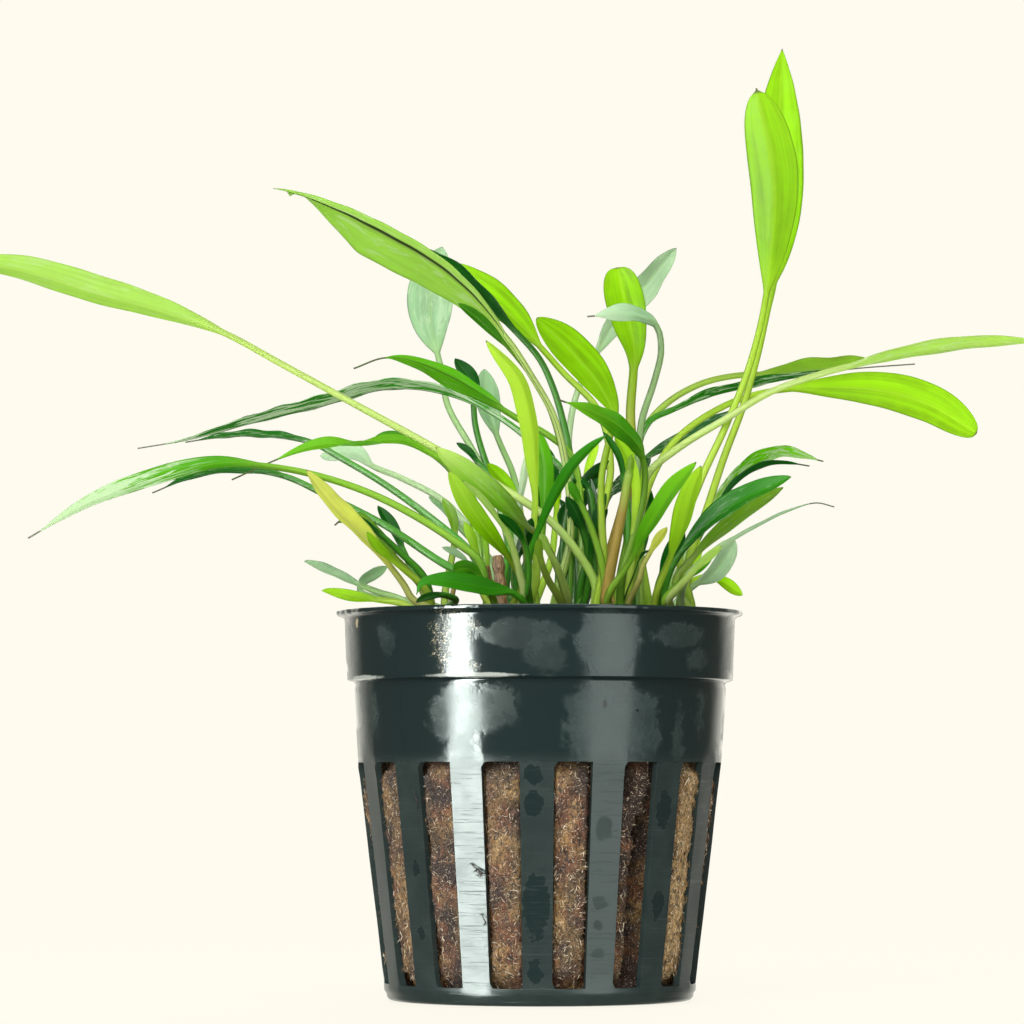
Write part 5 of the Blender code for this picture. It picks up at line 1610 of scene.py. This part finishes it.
def make_floor():
    """A pale floor that fades into the studio's cream away from the pot."""
    f = Finish("floor")
    place = f.add("TexCoord").outputs["Object"]
    away = f.add("VectorMath", {0: place}, operation="LENGTH").outputs["Value"]
    fading = f.ramp(away, 0.06, 0.30, 0.0, 1.0, smooth=True)
    glow = f.add("Emission", {"Color": (*CREAM, 1.0), "Strength": 0.93})
    paint = f.add("BsdfDiffuse", {"Color": (*FLOOR_PAINT, 1.0)})
    both = f.add("AddShader", {0: glow.outputs[0], 1: paint.outputs[0]})
    clear = f.add("BsdfTransparent")
    mixed = f.add("MixShader", {0: fading, 1: both.outputs[0], 2: clear.outputs[0]})
    mesh = bpy.data.meshes.new("floor")
    reach = 0.6
    corners = [(-reach, -reach, 0), (reach, -reach, 0), (reach, reach, 0), (-reach, reach, 0)]
    mesh.from_pydata(corners, [], [(0, 1, 2, 3)])
    mesh.materials.append(f.close(mixed.outputs[0]))
    floor = bpy.data.objects.new("floor", mesh)
    floor.location.z = -0.0002
    floor.visible_glossy = False
    bpy.context.scene.collection.objects.link(floor)


def tube_mesh(name, paths, radii, sides=6):
    """Closed tubes along paths of points in millimetres, joined in one mesh."""
    verts, faces = [], []
    for path, radius in zip(paths, radii):
        line = np.asarray(path, float)
        tangent = unit_rows(np.gradient(line, axis=0))
        side = unit_rows(np.cross(tangent, (0.31, 0.57, 0.76)))
        other = np.cross(tangent, side)
        base, count = len(verts), len(line)
        for k in range(count):
            for c in range(sides):
                angle = 2 * math.pi * c / sides
                reach = radius[k] * (math.cos(angle) * side[k] + math.sin(angle) * other[k])
                verts.append((line[k] + reach) * MM)
        for k in range(count - 1):
            low, high = base + k * sides, base + (k + 1) * sides
            for c in range(sides):
                n = (c + 1) % sides
                faces.append((low + c, low + n, high + n, high + c))
        faces.append([base + c for c in range(sides)][::-1])
        faces.append([base + (count - 1) * sides + c for c in range(sides)])
    mesh = bpy.data.meshes.new(name)
    mesh.from_pydata([tuple(v) for v in verts], [], faces)
    face_out(mesh)
    mesh.shade_smooth()
    return mesh


def lumpy_stem(foot, head, radius, rng, steps=14):
    """A path and radii for a stump: gently bent, ringed with leaf scars, and ragged at its cut end."""
    foot, head = np.array(foot), np.array(head)
    sway = rng.uniform(-0.25, 0.25, 3) * (1, 1, 0)
    path, radii = [], []
    for k in range(steps + 1):
        t = k / steps
        path.append(foot + (head - foot) * t + sway * math.sin(math.pi * t))
        scar = 0.10 * math.cos(2 * math.pi * 3.5 * t) + rng.uniform(-0.05, 0.05)
        radii.append(radius * (1.12 - 0.22 * t + scar) * (0.8 if k == steps else 1.0))
    return path, radii


def root_path(start, heading, length, rng, steps=8):
    """A wandering root from a point, in a first direction, that sinks as it goes."""
    path = [np.array(start, float)]
    direction = np.array(heading, float)
    for _ in range(steps):
        direction = direction + rng.normal(0, 0.22, 3) + (0, 0, -0.10)
        direction /= np.linalg.norm(direction)
        path.append(path[-1] + direction * length / steps)
    return path


def make_crown(name, number, finish, pale_finish):
    """A crown: its short rhizome and cut stubs, torn sheaths round it, and roots into the wool."""
    rng = np.random.default_rng(CROWN_SEED + number)
    across, depth = CROWNS[name]
    stems = [lumpy_stem((across, depth, CROWN_FOOT + 0.3), (across, depth, CROWN_TOP), CROWN_RADIUS, rng, 20)]
    for stub_across, stub_depth, top, radius in STUBS.get(name, ()):
        foot = (across + 0.6 * stub_across, depth + 0.6 * stub_depth, 47.6)
        head = (across + stub_across, depth + stub_depth, top)
        stems.append(lumpy_stem(foot, head, radius, rng, 26))
    for _ in range(SHEATHS):
        bearing = rng.uniform(0, 2 * math.pi)
        out = np.array((math.cos(bearing), math.sin(bearing), 0.0))
        foot = np.array((across, depth, 46.6)) + 1.5 * out
        reach = rng.uniform(1.4, 3.4)
        path = [foot + out * 0.5 * t * t + (0, 0, reach * t) for t in np.linspace(0, 1, 7)]
        stems.append((path, [rng.uniform(0.22, 0.4) * (1 - 0.8 * t) for t in np.linspace(0, 1, 7)]))
    mesh = tube_mesh("stump_" + name, [p for p, _ in stems], [r for _, r in stems], 12)
    add_piece("stump_" + name, mesh, finish, "rhizome", "crown_" + name)
    paths, radii = [], []
    for _ in range(CROWN_ROOTS):
        bearing = rng.uniform(0, 2 * math.pi)
        out = (math.cos(bearing), math.sin(bearing), rng.uniform(-0.2, 0.5))
        start = (across + 0.9 * out[0], depth + 0.9 * out[1], rng.uniform(46.2, 48.0))
        paths.append(root_path(start, out, rng.uniform(2.0, 6.0), rng))
        radii.append(np.linspace(rng.uniform(0.10, 0.17), 0.04, len(paths[-1])))
    mesh = tube_mesh("roots_" + name, paths, radii, 5)
    add_piece("roots_" + name, mesh, pale_finish, "rhizome")


def make_root_hairs(finish):
    """Tufts of fine dark roots that have grown out of the slots and lie on the ribs."""
    rng = np.random.default_rng(HAIR_SEED)
    paths, radii = [], []
    for bearing, height, sideways, count in ROOT_TUFTS:
        start = turned_point(pot_radius(height) + 0.22, bearing, height)
        side = Vector((math.cos(math.radians(bearing)), math.sin(math.radians(bearing)), 0.0))
        for _ in range(count):
            lift = rng.uniform(-1.0, 1.0)
            path = []
            for t in np.linspace(0, 1, 6):
                run = rng.uniform(-0.05, 0.05) + sideways * t * (1.2 + 0.9 * lift)
                rise = lift * 1.5 * t + 0.4 * t * t * rng.uniform(-1, 1)
                stand = 0.35 * math.sin(math.pi * min(1.0, 0.3 + t))
                path.append(np.array(start + side * run) + np.array((0, 0, rise))
                            + stand * np.array((start.x, start.y, 0)) / 21.0)
            paths.append(path)
            radii.append(np.linspace(0.07, 0.03, 6))
    mesh = tube_mesh("root_hairs", paths, radii, 5)
    add_piece("root_hairs", mesh, finish, "rhizome")


def bark_finish(name, dark, light):
    """Fibrous brown skin of a rhizome, ringed and stained."""
    f = Finish(name)
    place = f.millimetres()
    fibres = f.noise(f.stretched(place, 5.0, 5.0, 0.8), 1.0, 4.0, 0.7)
    stains = f.noise(place, 0.9, 3.0, 0.6)
    rings = f.noise(f.stretched(place, 0.3, 0.3, 3.0), 1.0, 2.0, 0.5)
    colour = f.mix(f.ramp(fibres, 0.38, 0.62), dark, light)
    colour = f.mix(f.ramp(stains, 0.45, 0.65, 0.0, 0.6), colour, darkened(dark, 0.5))
    relief = f.plus(f.times(fibres, 0.7), f.times(rings, 0.5))
    surface = f.add("BsdfPrincipled", {
        "Base Color": colour, "Roughness": 0.65, "Normal": f.bump(relief, 0.8, 0.0004)})
    return f.close(surface.outputs[0])


def main():
    """Lights, floor, plant and pot."""
    scene = bpy.context.scene
    scene.view_settings.view_transform = "Standard"
    set_camera()
    set_world()
    set_lights()
    make_floor()
    make_leaves()
    make_pot(pot_finish())
    make_wool(wool_finish())
    make_fibres(fibre_finish())
    bark = bark_finish("bark", *BARK)
    roots = bark_finish("roots", *ROOTS)
    for number, crown_name in enumerate(CROWNS):
        make_crown(crown_name, number, bark, roots)
    make_root_hairs(bark_finish("hairs", *HAIRS))


main()
